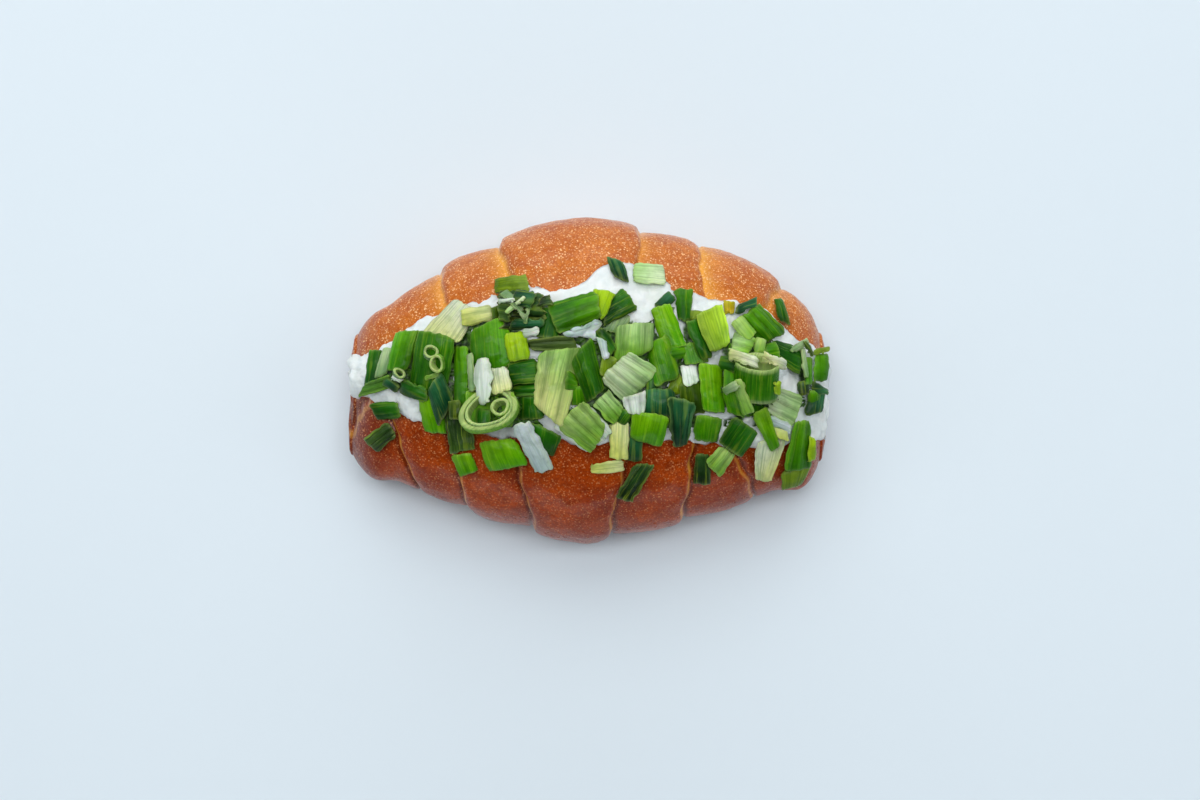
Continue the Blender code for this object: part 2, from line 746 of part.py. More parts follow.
def joined(name, core, others, look):
    """One body from the core and everything that meets it."""
    group = bpy.data.collections.new(name + "_pieces")
    bpy.context.scene.collection.children.link(group)
    for item in others:
        bpy.context.scene.collection.objects.unlink(item)
        group.objects.link(item)
    union = core.modifiers.new("join", "BOOLEAN")
    union.operation = "UNION"
    union.operand_type = "COLLECTION"
    union.collection = group
    union.solver = "MANIFOLD"
    evaluated = core.evaluated_get(bpy.context.evaluated_depsgraph_get())
    mesh = bpy.data.meshes.new_from_object(evaluated)
    core.modifiers.clear()
    core.data = mesh
    core.name = name
    mesh.materials.clear()
    mesh.materials.append(look)
    for item in list(group.objects):
        bpy.data.objects.remove(item, do_unlink=True)
    bpy.data.collections.remove(group)
    keep_largest_body(mesh)
    return core


def keep_largest_body(mesh):
    """Drop loose scraps and sealed hollows, then weld and triangulate."""
    shape = bmesh.new()
    shape.from_mesh(mesh)
    bmesh.ops.remove_doubles(shape, verts=shape.verts, dist=1e-6)
    bmesh.ops.triangulate(shape, faces=shape.faces)
    waiting = set(shape.verts)
    bodies = []
    while waiting:
        stack = [waiting.pop()]
        body = set(stack)
        while stack:
            for edge in stack.pop().link_edges:
                for vertex in edge.verts:
                    if vertex in waiting:
                        waiting.discard(vertex)
                        body.add(vertex)
                        stack.append(vertex)
        bodies.append(body)
    bodies.sort(key=len, reverse=True)
    loose = [vertex for body in bodies[1:] for vertex in body]
    bmesh.ops.delete(shape, geom=loose, context="VERTS")
    shape.to_mesh(mesh)
    shape.free()


def make_scallions(bread, cream):
    relief = Relief((bread, cream))
    look = material("scallion", SCALLION_GREEN, 0.35)
    pieces = []
    ordered = UNDER + MIDDLE + UPPER
    bends = scallion_bends(len(ordered) + len(STRAYS), SEED)
    for k, piece in enumerate(STRAYS):
        points, faces = lay_sheet(relief, piece, bends[len(ordered) + k], alone=True)
        mesh_object(f"scallion_piece_{k + 1:02d}", points, faces, look)
    for k, piece in enumerate(ordered):
        if k == len(UNDER):
            for ring in RINGS:
                pieces.append(mesh_object("cut", *lay_ring(relief, ring)))
        pieces.append(mesh_object("cut", *lay_sheet(relief, piece, bends[k])))
    core = mesh_object("core", *core_mesh(relief))
    joined("scallion_heap", core, pieces, look)


def main():
    clear_scene()
    bread = make_bread()
    cream = make_cream()
    make_scallions(bread, cream)


main()
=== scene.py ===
"""The look of the salt bread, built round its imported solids.

The frame is the part's own: metres, the origin under the middle of the bun, +X along it, +Z up.
Sizes below are in millimetres, as in the part's source, and become metres when a mesh is made.
"""

import math
import random

import bmesh
import bpy
import numpy as np
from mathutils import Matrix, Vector, noise
from mathutils.bvhtree import BVHTree

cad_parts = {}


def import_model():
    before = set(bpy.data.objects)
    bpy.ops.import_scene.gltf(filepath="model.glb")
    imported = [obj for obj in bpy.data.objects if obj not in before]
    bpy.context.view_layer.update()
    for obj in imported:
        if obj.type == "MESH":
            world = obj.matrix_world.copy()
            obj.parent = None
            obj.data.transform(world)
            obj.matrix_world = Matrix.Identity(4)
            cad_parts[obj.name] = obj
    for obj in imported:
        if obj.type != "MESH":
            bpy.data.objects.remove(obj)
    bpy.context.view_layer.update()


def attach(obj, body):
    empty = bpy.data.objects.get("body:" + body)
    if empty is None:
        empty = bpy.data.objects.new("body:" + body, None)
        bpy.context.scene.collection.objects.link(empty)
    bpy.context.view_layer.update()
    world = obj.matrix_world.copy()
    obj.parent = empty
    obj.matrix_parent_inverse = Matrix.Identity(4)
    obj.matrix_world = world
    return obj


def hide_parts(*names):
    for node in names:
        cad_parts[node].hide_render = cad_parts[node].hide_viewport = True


MM = 0.001
BACK = 1
FRONT = -1

# ---------------------------------------------------------------- sizes of the bun, as in the part
HALF_LENGTH = 70.0
ENVELOPE_HALF = 71.0
HALF_WIDTH = 47.0
HEIGHT = 46.5
WIDEST_HEIGHT = 17.0
HEIGHT_POWERS = (2.0, 0.33)
WIDTH_POWERS = {
    BACK: ((1.5, 0.50), (1.5, 0.385)),
    FRONT: ((1.2, 0.345), (1.2, 0.278)),
}
CORNERS = {
    (BACK, -1): (2.8, 57.0, 9.0),
    (BACK, 1): (0.8, 57.0, 9.0),
    (FRONT, -1): (4.6, 54.0, 10.0),
    (FRONT, 1): (5.3, 54.0, 12.0),
}
SIDE_ROUNDNESS = 0.9
BOTTOM_FLATNESS = 0.55
BOTTOM_PRESS = 1.06
END_LIFT = 5.0
END_REACH = 1.0
END_INSET = 1.0
END_DOME = 0.8
CREAM_END_REACH = 1.6
CREAM_END_INSET = 1.5
END_CROWDING = 0.35
NOSE_REACH = 1.6
NOSE_FROM = 9.0
LEFT_SHORTER = 1.3
CREASES = {
    BACK: ((-43.0, 0.28), (-25.5, 0.30), (15.5, -0.08), (32.5, 0.06), (57.0, -0.60)),
    FRONT: ((-70.1, 0.30), (-49.0, -0.39), (-34.0, -0.23), (-15.0, -0.23), (6.5, 0.21),
            (28.0, 0.11), (49.0, -0.40)),
}
LAYER_RISE = {
    BACK: (-1.2, -0.6, 1.0, 0.2, 0.8, 0.0),
    FRONT: (-0.4, 0.6, -0.4, 0.2, 1.0, 0.4, -0.2, 0.6),
}
MIDDLE_LAYER = {BACK: 2, FRONT: 4}
CREASE_DEPTH = 1.7
CREASE_BLEND = 0.8
SLIT_MIDDLE = 3.8
SLIT_HALF = 18.0
SLIT_HALF_LEFT = 2.6
SLIT_HALF_RIGHT = 10.0
SLIT_FLOOR = 15.0
SLIT_TAPER = 0.4
# How far the slit bends forward at its left and right end, how near the lips come to the sides,
# and how far below the lips the cut faces start.
SLIT_BENDS = (2.5, 8.5)
LIP_LIMIT = 0.74
LIP_DROP = 1.6
LIP_ROUND = 1.8
LIP_PINCHES = ((-57.5, 5.0, 1.8), (61.0, 3.5, 2.2))

# How finely the bun is cut, and the creases' small relief and colour that only the look has, with
# the front creases' painted highlight and painted shade.
BREAD_STATIONS = 372
LOW_STEPS = 24
HIGH_STEPS = 46
GROOVE_STEPS = LOW_STEPS + HIGH_STEPS
END_STEPS = 6
CAP_ROWS = 7
HALVINGS = 34
CREASE_CUT = 0.5
CREASE_CUT_WIDTH = 0.55
CREASE_WANDER = 0.4
# Crease strengths: at the back pale stretched dough, at the front a thin painted highlight on each
# shoulder.
CREASE_PALE = {
    BACK: (0.75, 0.95, 0.55, 1.0, 0.45),
    FRONT: (0.6, 0.7, 0.75, 0.6, 0.7, 0.8, 0.6),
}
PALE_WIDTH = 2.3
# Width of the front's painted highlight on each crease shoulder, and of the painted shade in the
# crease beside it.
SHOULDER = 0.45
PAINTED_CREASE_SHADE_WIDTH = 0.8

GAP = 0.35
CREAM_COLOURS = ((0.76, 0.83, 0.82, 1.0), (0.87, 0.91, 0.90, 1.0))
CREAM_RISE = 5.0
CREAM_EDGE = 0.9
CREAM_STATIONS = 330
CREAM_STEPS = 92
SLIT_UNDER_STEPS = 16
CREAM_CAP_RINGS = 8
# Layers of small relief, each with its amount, size, octaves and seed.
BREAD_LUMPS = ((0.32, 11.0, 2, 1), (0.11, 3.2, 2, 2))
CREAM_RAGGED = ((0.9, 5.0, 2, 3), (0.25, 1.8, 2, 4))
CREAM_FOLDS = ((1.4, 7.0, 2, 5),)
CREAM_LUMPS = ((0.5, 3.0, 3, 6),)
RAGGED_REACH = 1.3
LEAST_SPREAD = 0.5
# How far the cream spreads over the crust beyond the lip: place along the bun, reach.
CREAM_SPREAD = {
    BACK: ((-70, 0.6), (-52, 0.7), (-46, 1.6), (-42, 0.6), (-28, 1.8), (-20, 2.8), (-16, 3.8),
           (-11, 0.9), (-6, 0.6), (-1, 3.0), (4, 8.4), (13, 9.4), (19, 6.2), (25, 2.8), (34, 1.2),
           (48, 2.0), (56, 0.6), (70, 0.6)),
    FRONT: ((-70, 0.6), (-58, 0.9), (-46, 0.6), (-30, 0.9), (-8, 0.7), (-2, 2.6), (4, 1.2),
            (30, 1.0), (36, 2.0), (46, 2.4), (54, 1.2), (70, 0.6)),
}

# ---------------------------------------------------------------- sizes of the scallions
SHEET_WALL = 0.7
BENDS = (-0.3, 1.2)
TWIST = 0.6
RIPPLE = 0.34
# How ragged the cut ends and the sides are, how far corners draw in, and how far a rim bulges.
JAG = 0.38
FRAY = 0.34
CORNER_ROUND = 0.07
RIM_THICKNESS = 0.62
RIM_BULGE = 0.16
RIDGE = 0.55
RASTER_STEP = 0.5
RASTER_HALF_X = 76.0
RASTER_HALF_Y = 52.0
RAY_START = 0.1
NO_GROUND = -1e3
STEEPEST = 0.5
FLEX = 0.8
FLEX_MOST = 2.5
HOLDS = 5
REST_SHARE = 0.7
SINK = 0.35
RING_SINK = 2.8
CURL_SINK = 0.9
RING_FLATNESS = 0.8
RING_LINES = (60, 9)
CORE_LINES = (260, 90)
SHEET_LINES = (26, 20)
BED_LINES = (10, 8)
UNDER_GROWN = 1.08
REST_GROWN = 1.04
CORE_ENDS = (-62.0, 66.5)
CORE_UNDER = 1.7
CORE_CLEAR = 1.1
CORE_HIGHEST = 4.5
SEED = 11
# How far a sheet is bent across its fibres, in degrees; below zero it is hollow on top.
LEAF, FLAT, ARCH, BOWL = 70.0, 18.0, 135.0, -105.0
# The corners of a piece are those seen from the camera if the piece lay at the seen height.
CAMERA_PLACE = (3.9, -5.7, 520.0)
SEEN_HEIGHT = 50.0


def srgb(red, green, blue):
    """A linear colour from the 0 to 255 values that a screen shows."""
    levels = []
    for value in (red, green, blue):
        value /= 255.0
        levels.append(value / 12.92 if value <= 0.04045 else ((value + 0.055) / 1.055) ** 2.4)
    return (*levels, 1.0)


# Colours of a scallion piece from one end to the other, and the kind that it is joined to.
TINTS = {
    "dark": (srgb(14, 72, 6), srgb(40, 108, 12), "leaf"),
    "blue": (srgb(10, 58, 30), srgb(40, 104, 62), "leaf"),
    "wilted": (srgb(10, 34, 8), srgb(46, 84, 34), "wilted"),
    "wet": (srgb(62, 92, 30), srgb(44, 72, 30), "wilted"),
    "deep": (srgb(26, 92, 0), srgb(60, 128, 4), "leaf"),
    "mid": (srgb(50, 118, 0), srgb(84, 152, 4), "leaf"),
    "bright": (srgb(76, 150, 0), srgb(116, 178, 6), "leaf"),
    "lime": (srgb(134, 176, 0), srgb(164, 200, 14), "leaf"),
    "olive": (srgb(98, 128, 6), srgb(120, 148, 40), "leaf"),
    "shade": (srgb(34, 60, 0), srgb(60, 90, 4), "leaf"),
    "light": (srgb(126, 180, 62), srgb(168, 204, 110), "pale"),
    "striped": (srgb(172, 210, 136), srgb(218, 236, 192), "pale"),
    "tube": (srgb(128, 186, 52), srgb(178, 214, 138), "pale"),
    "fan": (srgb(224, 230, 148), srgb(154, 198, 100), "pale"),
    "butter": (srgb(214, 220, 116), srgb(222, 228, 160), "pale"),
    "petal": (srgb(216, 220, 150), srgb(226, 232, 206), "pale"),
    "white": (srgb(214, 230, 214), srgb(230, 238, 230), "skin"),
    "ice": (srgb(180, 202, 200), srgb(222, 234, 238), "skin"),
    "film": (srgb(120, 156, 104), srgb(176, 198, 150), "pale"),
    "curl": (srgb(64, 130, 24), srgb(92, 150, 40), "pale"),
    "gold": (srgb(200, 164, 4), srgb(204, 184, 14), "pale"),
}

EDGE_TINT = srgb(186, 208, 110)
INNER_TINT = srgb(168, 192, 128)
RING_INSIDE_TINT = srgb(176, 200, 118)
RING_CUT_TINT = srgb(198, 214, 140)


class Cut:
    """A flat or bent piece: its corners, the fibres running along the first side.

    A side value above zero brightens the far side and darkens the first one, partly the leaf's own
    colour and partly painted light across its curve; ridges are the lengthwise folds, with painted
    shade in their furrows, a belly widens the middle and tatter makes the outline and the skin
    uneven.
    """

    def __init__(self, corners, arc, tint, side=0.0, ridges=0, belly=0.0, tatter=1.0):
        self.corners = np.array(corners).reshape(4, 2)
        self.arc, self.tint, self.side, self.ridges = arc, tint, side, ridges
        self.belly, self.tatter = belly, tatter
        a, b, c, d = self.corners
        self.length = (np.hypot(*(b - a)) + np.hypot(*(c - d))) / 2
        self.width = (np.hypot(*(d - a)) + np.hypot(*(c - b))) / 2
        self.mirrored = (b - a)[0] * (d - a)[1] < (b - a)[1] * (d - a)[0]

    def at_height(self, height, grown):
        share = (CAMERA_PLACE[2] - height) / (CAMERA_PLACE[2] - SEEN_HEIGHT)
        axis = np.array(CAMERA_PLACE[:2])
        corners = axis + (self.corners - axis) * share
        middle = corners.mean(axis=0)
        corners = middle + (corners - middle) * grown
        return Cut(corners, self.arc, self.tint, self.side, self.ridges, self.belly, self.tatter)


def bar(x, y, length, width, heading, arc, tint, **more):
    """A right-angled piece by its middle, size and heading in degrees."""
    turn = math.radians(heading)
    along = np.array((math.cos(turn), math.sin(turn))) * length / 2
    over = np.array((-math.sin(turn), math.cos(turn))) * width / 2
    middle = np.array((x, y))
    corners = (middle - along - over, middle + along - over, middle + along + over,
               middle - along + over)
    return Cut(corners, arc, tint, **more)


# The pieces of the heap from the lowest to the highest.
UNDER = (
    Cut((-61.0, -2.0, -59.7, 7.7, -56.5, 7.6, -57.6, -1.5), LEAF, "dark", -0.6),
    Cut((-58.0, 0.5, -55.9, 8.2, -53.7, 8.2, -54.8, 1.6), LEAF, "film"),
    Cut((-54.4, 2.6, -52.6, 12.8, -46.1, 12.9, -49.0, 3.0), 90, "mid", -0.9),
    Cut((-35.8, -7.0, -36.2, 8.6, -32.6, 8.2, -32.0, -6.0), 90, "mid", 0.6),
    Cut((-44.3, -14.0, -45.6, -5.5, -40.5, -5.0, -38.4, -14.6), LEAF, "bright", 0.1),
    Cut((-37.5, -20.2, -38.6, -9.6, -31.4, -10.8, -31.0, -18.6), FLAT, "wet", tatter=2.0),
    Cut((-34.5, 10.2, -30.6, 18.6, -36.3, 21.8, -45.0, 12.8), 100, "petal"),
    Cut((-33.5, 14.6, -25.4, 16.4, -26.5, 20.0, -33.8, 18.8), LEAF, "butter"),
    Cut((-25.6, 16.2, -26.2, 19.2, -24.2, 20.2, -23.2, 17.2), FLAT, "shade"),
    Cut((-24.6, 24.0, -15.9, 24.0, -16.5, 28.6, -24.8, 27.6), LEAF, "olive", tatter=1.6),
    Cut((-13.5, 12.0, -12.2, 19.6, -7.4, 18.8, -7.8, 11.0), 90, "dark", 0.3),
    Cut((4.6, 13.8, 6.6, 19.0, 12.0, 17.4, 9.4, 12.4), FLAT, "film", tatter=1.6),
    Cut((4.8, 14.8, 13.8, 19.4, 10.3, 24.5, 5.7, 21.4), LEAF, "dark", 0.3, tatter=1.5),
    Cut((4.9, 16.6, 7.6, 23.4, 2.6, 24.6, 1.8, 18.2), ARCH, "lime"),
    Cut((-14.2, -18.4, -14.6, -12.0, -7.0, -15.7, -9.4, -20.8), LEAF, "dark", -0.3),
    Cut((-18.2, -10.8, -17.6, -4.6, -13.0, -4.8, -11.4, -10.6), LEAF, "dark"),
    Cut((-20.2, -4.6, -12.6, -4.4, -12.8, -0.8, -20.0, -0.6), LEAF, "dark", ridges=2),
    Cut((-32.0, -12.6, -32.4, -3.4, -19.8, -3.6, -20.2, -12.8), BOWL, "bright", -0.2),
    Cut((22.4, -3.2, 24.6, 1.8, 27.4, -0.2, 26.0, -4.2), FLAT, "olive"),
    Cut((27.0, -8.6, 26.0, -1.6, 31.4, -1.0, 32.6, -9.0), LEAF, "shade"),
    Cut((27.1, -1.9, 26.3, 3.3, 30.4, 3.9, 31.0, -0.8), FLAT, "white"),
    Cut((27.6, 4.0, 26.4, 9.4, 31.6, 10.0, 33.4, 4.8), LEAF, "curl", -0.6),
    Cut((28.2, 16.4, 28.4, 18.8, 32.0, 18.6, 31.2, 16.2), FLAT, "olive"),
    Cut((38.6, 18.0, 38.0, 21.6, 40.9, 21.2, 40.6, 18.2), LEAF, "gold"),
    Cut((60.4, -9.8, 61.6, -3.4, 65.8, -4.0, 65.2, -8.8), 90, "blue", 0.3),
    Cut((59.0, -4.2, 58.6, -0.8, 61.2, -0.6, 61.2, -4.0), ARCH, "wilted"),
    Cut((59.8, -5.0, 51.4, -2.2, 48.0, -7.4, 56.8, -12.6), LEAF, "striped", 0.3, 3),
    Cut((47.0, -27.2, 46.9, -17.6, 54.8, -15.4, 51.2, -28.0), BOWL, "petal", -0.1, 0, 0.12),
    Cut((11.8, -21.9, 12.0, -15.2, 15.2, -16.4, 15.2, -22.2), FLAT, "blue", -0.2),
    Cut((16.0, -9.8, 17.0, -2.8, 24.0, -3.2, 25.2, -9.8), LEAF, "blue", -0.4),
    Cut((6.9, -21.2, 6.8, -12.6, 11.8, -12.0, 11.3, -21.8), LEAF, "butter"),
    Cut((7.0, -14.2, 0.2, -7.0, -8.6, -13.0, 0.2, -19.8), FLAT, "white"),
    Cut((39.8, 4.0, 39.4, 9.8, 44.2, 8.0, 43.2, 3.0), LEAF, "mid"),
    Cut((43.4, -10.2, 42.6, -1.0, 48.6, -1.0, 48.8, -8.6), LEAF, "mid", -0.5),
)
MIDDLE = (
    Cut((-48.6, -2.6, -45.9, 13.3, -35.7, 10.8, -38.6, -4.2), 80, "deep", 0.1),
    Cut((-62.9, -4.9, -52.6, -2.1, -53.8, 1.2, -60.8, -1.0), BOWL, "mid", 0.2, 2),
    Cut((-51.6, -3.6, -44.2, -6.0, -43.6, -3.2, -50.8, 0.2), ARCH, "dark", 0.4, 2, 0.2, 1.8),
    bar(-52.2, 0.2, 2.8, 1.5, -20, FLAT, "white"),
    Cut((-30.8, 1.0, -31.6, 13.0, -22.0, 17.6, -20.3, 4.2), 60, "mid", 0.5),
    Cut((-14.6, 8.0, -2.4, 7.4, -3.8, 12.2, -15.9, 10.8), BOWL, "shade", -0.2, 2),
    Cut((-7.4, 12.4, 4.2, 17.0, 2.6, 24.0, -10.4, 20.4), 120, "mid", 0.5, 3),
    Cut((21.0, 18.8, 24.4, 22.0, 22.8, 24.0, 19.0, 20.2), ARCH, "blue"),
    Cut((25.8, 16.2, 24.6, 24.6, 29.4, 25.0, 28.2, 16.0), ARCH, "deep", tatter=1.5),
    Cut((21.6, 8.4, 18.0, 19.2, 23.0, 20.6, 27.6, 9.2), 60, "bright", 0.35),
    Cut((34.6, 6.4, 30.8, 16.4, 27.5, 15.6, 31.8, 5.6), ARCH, "dark"),
    Cut((34.2, 7.4, 30.4, 17.4, 37.4, 20.6, 39.6, 9.8), BOWL, "lime", 0.7, 0, 0.12),
    Cut((55.4, 13.0, 47.6, 20.6, 42.2, 16.4, 48.6, 10.2), 80, "mid", 0.2, 3, 0.05, 1.5),
    Cut((41.0, 17.9, 46.8, 20.2, 47.2, 22.4, 41.4, 19.8), ARCH, "blue"),
    Cut((-20.4, -1.2, -13.2, -1.0, -14.0, 5.5, -21.7, 4.0), 80, "dark", 0.5),
    Cut((-6.4, -13.2, -0.4, 8.6, -12.6, 7.2, -14.2, -6.4), 60, "fan", -0.1, 2),
    Cut((-5.8, -2.4, -2.2, -2.8, -2.4, 0.4, -5.2, 2.4), LEAF, "mid"),
    Cut((19.0, -2.0, 17.0, 9.0, 22.4, 12.2, 25.7, 1.0), 100, "mid", -0.3),
    Cut((12.2, -15.8, 13.2, -9.0, 22.8, -10.4, 20.6, -18.3), LEAF, "bright", 0.2),
    Cut((24.2, -18.3, 22.2, -5.0, 29.8, -6.6, 27.8, -17.8), 50, "blue", 0.3, 3, 0.0, 1.5),
    Cut((8.0, 4.4, 8.9, 14.6, 18.2, 15.4, 18.0, 8.0), 130, "tube", -0.1, 2),
    Cut((0.6, -6.2, -3.8, 5.0, 1.4, 11.4, 4.8, -2.6), 120, "deep", 0.4, 2),
    Cut((3.8, 1.4, 4.4, 6.6, 8.8, 5.4, 7.6, 0.4), LEAF, "olive"),
    Cut((5.6, -13.2, -0.6, -5.6, -7.7, -13.4, 1.3, -20.0), 60, "light", 0.0, 3, 0.0, 1.4),
    Cut((10.4, -8.4, 6.2, -3.1, 2.0, -7.0, 7.4, -12.4), LEAF, "tube", 0.0, 3),
    Cut((32.2, -8.3, 30.8, 4.0, 37.2, 3.6, 38.2, -8.9), 90, "bright", -0.1),
    Cut((43.8, -10.4, 42.0, -3.2, 38.0, -2.2, 39.2, -8.8), LEAF, "mid"),
    Cut((46.3, -8.8, 42.6, 0.2, 40.6, -0.8, 43.9, -9.6), ARCH, "light"),
    bar(40.2, -2.3, 3.8, 1.7, 30, ARCH, "film"),
    Cut((46.8, 11.2, 41.4, 12.9, 39.4, 5.8, 43.4, 5.2), LEAF, "tube", 0.0, 3, 0.0, 1.6),
    Cut((52.2, -4.0, 51.8, -0.8, 53.4, -0.6, 53.7, -3.8), LEAF, "lime"),
    Cut((51.0, -15.2, 50.8, -12.8, 55.2, -14.0, 55.6, -17.0), FLAT, "butter"),
    Cut((50.2, -12.2, 56.4, -15.0, 56.2, -12.0, 50.0, -9.8), FLAT, "ice"),
    Cut((30.0, -16.4, 30.3, -9.9, 37.3, -11.0, 36.0, -17.3), LEAF, "mid", -0.1),
    Cut((50.2, 6.2, 58.8, 1.6, 59.9, 8.2, 51.6, 10.8), LEAF, "dark"),
    Cut((36.5, -17.0, 40.8, -10.2, 47.4, -14.8, 43.0, -21.4), 60, "dark", 0.2),
    Cut((54.8, -25.4, 57.0, -11.8, 61.4, -11.5, 62.6, -24.2), 60, "mid", -0.1, 2),
    Cut((61.6, -22.8, 61.6, -15.6, 63.4, -16.6, 63.7, -22.0), LEAF, "lime"),
    Cut((60.5, -1.4, 60.3, 6.0, 62.6, 5.8, 62.4, -1.0), ARCH, "curl"),
    Cut((63.0, -0.4, 63.8, 6.8, 67.2, 6.8, 66.8, -0.2), 110, "mid", -0.4, 0, 0.2, 1.6),
    Cut((62.6, 6.6, 67.0, 7.6, 67.4, 8.9, 62.8, 8.0), LEAF, "olive"),
    Cut((62.2, -4.0, 66.8, -3.9, 67.0, -3.2, 62.6, -0.4), LEAF, "blue"),
)
UPPER = (
    bar(-42.0, 0.9, 4.4, 0.8, 12, FLAT, "light"),
    Cut((-40.9, -12.9, -43.3, -3.4, -40.0, 1.8, -36.4, -5.2), 90, "blue", 0.6),
    Cut((-23.2, 14.4, -11.4, 15.2, -11.4, 22.8, -23.9, 24.6), LEAF, "wilted", 0.4, 2, 0.0, 4.0),
    Cut((-23.8, 16.2, -20.8, 16.0, -20.4, 22.4, -24.2, 23.6), ARCH, "wet", -0.4, 0, 0.0, 2.0),
    Cut((-23.6, 23.2, -17.8, 18.8, -17.0, 20.8, -22.0, 24.6), ARCH, "film", 0.0, 0, 0.0, 2.0),
    Cut((-20.6, 20.4, -15.4, 19.6, -14.0, 24.0, -19.6, 24.4), ARCH, "blue", 0.0, 2, 0.0, 2.5),
    # This near-black wilted piece also stands in for a dark patch of shade in the tangle: painted
    # shade.
    Cut((-13.6, 20.2, -9.2, 20.4, -10.2, 23.2, -12.8, 22.4), LEAF, "wilted"),
    Cut((-21.0, 14.2, -12.0, 14.4, -11.8, 16.4, -20.4, 16.2), ARCH, "blue", 0.2, 2, 0.0, 2.0),
    Cut((-20.8, 4.8, -22.3, 12.3, -16.8, 13.0, -15.3, 5.9), LEAF, "lime", 0.1),
    bar(-15.1, 13.0, 3.9, 1.9, 10, FLAT, "white"),
    Cut((-5.6, 11.6, 2.8, 11.1, 3.9, 16.7, -4.0, 13.5), FLAT, "ice", 0.0, 0, 0.0, 3.5),
    Cut((2.7, 12.5, 6.2, 6.4, 8.5, 8.8, 4.2, 14.3), LEAF, "dark"),
    Cut((3.0, 11.6, 5.0, 5.4, 6.6, 6.3, 5.3, 10.6), FLAT, "ice"),
    Cut((19.9, 2.5, 11.9, 7.3, 4.2, 0.2, 11.2, -6.4), 30, "striped", -0.3, 4),
    Cut((11.6, -9.4, 10.0, -5.2, 16.4, -3.2, 15.8, -9.4), LEAF, "white", 0.0, 2),
    Cut((-25.2, -4.2, -26.2, 2.6, -21.6, 3.1, -20.0, -2.8), LEAF, "petal", -0.1),
    Cut((-31.9, -3.4, -32.6, 6.6, -31.1, 7.0, -30.1, -3.0), FLAT, "film"),
    Cut((-28.8, -6.6, -29.4, 5.2, -26.9, 5.6, -26.4, -6.2), LEAF, "white", 0.0, 0, 0.9),
    Cut((-13.8, -25.8, -20.3, -12.6, -15.2, -11.6, -9.2, -24.4), LEAF, "ice", 0.0, 0, 0.0, 1.5),
    Cut((51.6, -19.6, 45.4, -9.4, 49.6, -7.6, 53.1, -18.2), ARCH, "bright", -0.2),
    bar(-19.4, 20.6, 6.4, 0.7, 38, FLAT, "striped"),
    bar(-18.2, 18.6, 6.0, 0.6, -48, FLAT, "film"),
    bar(-21.8, 21.6, 4.4, 0.8, 4, FLAT, "white"),
    bar(-16.4, 17.4, 4.0, 0.6, 80, FLAT, "film"),
    bar(60.4, 4.6, 8.0, 1.1, 97, ARCH, "film"),
    bar(59.0, 9.2, 5.6, 1.0, 30, ARCH, "film"),
    bar(61.6, 8.6, 4.2, 1.0, -60, ARCH, "wet"),
    Cut((39.6, 5.4, 46.6, 3.2, 47.2, 5.8, 40.0, 8.2), ARCH, "petal", 0.2, 1, 0.1, 3.0),
    Cut((48.6, 5.0, 55.2, 3.0, 55.4, 5.0, 49.0, 7.4), ARCH, "petal", 0.2, 1, 0.1, 3.0),
)
# Hollow cuts: x, y, length, outer width, inner width, heading, tilt in degrees and tint.
RINGS = (
    (-26.4, -8.6, 3.6, 16.0, 12.8, 118, 68, "light"),
    (-26.2, -8.4, 3.6, 12.7, 10.8, 118, 70, "striped"),
    (-23.0, -8.0, 3.4, 5.8, 3.8, 130, 66, "light"),
    (47.2, 0.0, 11.0, 12.2, 10.2, 90, 30, "mid"),
)
CURLS = (
    (-43.0, 7.4, 2.2, 4.6, 3.0, 60, 68, "film"),
    (-40.9, 4.4, 2.2, 5.0, 3.4, 200, 66, "light"),
    (-52.4, 1.6, 1.8, 3.6, 2.0, 60, 66, "film"),
)
# Pieces lying by themselves on the crust and on the smear of cream.
STRAYS = (
    Cut((-57.7, -20.2, -52.1, -15.8, -54.4, -11.6, -61.8, -16.6), FLAT, "wet", 0.5, 3),
    Cut((-57.8, -11.0, -50.6, -10.4, -51.8, -6.3, -59.8, -6.5), LEAF, "dark", 0.3),
    Cut((-34.8, -26.8, -37.1, -20.8, -31.4, -20.2, -30.1, -25.2), LEAF, "bright", 0.1),
    Cut((-26.8, -25.3, -29.3, -17.3, -19.4, -16.3, -15.8, -23.3), LEAF, "bright", 0.3),
    Cut((1.7, -26.1, 10.6, -25.0, 10.1, -22.3, 1.3, -23.4), FLAT, "butter"),
    Cut((12.8, -34.0, 18.6, -23.2, 14.0, -23.0, 8.2, -32.4), FLAT, "wilted", -0.2, 2, 0.1, 1.6),
    Cut((29.8, -28.6, 30.4, -20.4, 33.6, -20.6, 34.4, -29.2), LEAF, "wilted", 0.2),
    Cut((36.9, -27.0, 41.2, -20.6, 36.8, -18.2, 32.9, -22.4), FLAT, "light", 0.0, 2),
    Cut((54.2, -30.4, 53.8, -25.4, 62.2, -23.4, 59.8, -28.9), LEAF, "olive"),
    Cut((11.7, 26.3, 10.4, 32.2, 5.8, 34.0, 7.8, 28.0), LEAF, "blue", 0.2, 2),
    Cut((13.0, 26.6, 21.8, 25.8, 21.2, 31.6, 13.4, 31.8), FLAT, "striped"),
    Cut((56.2, 14.6, 54.2, 22.0, 52.4, 22.2, 53.2, 16.4), ARCH, "dark"),
)
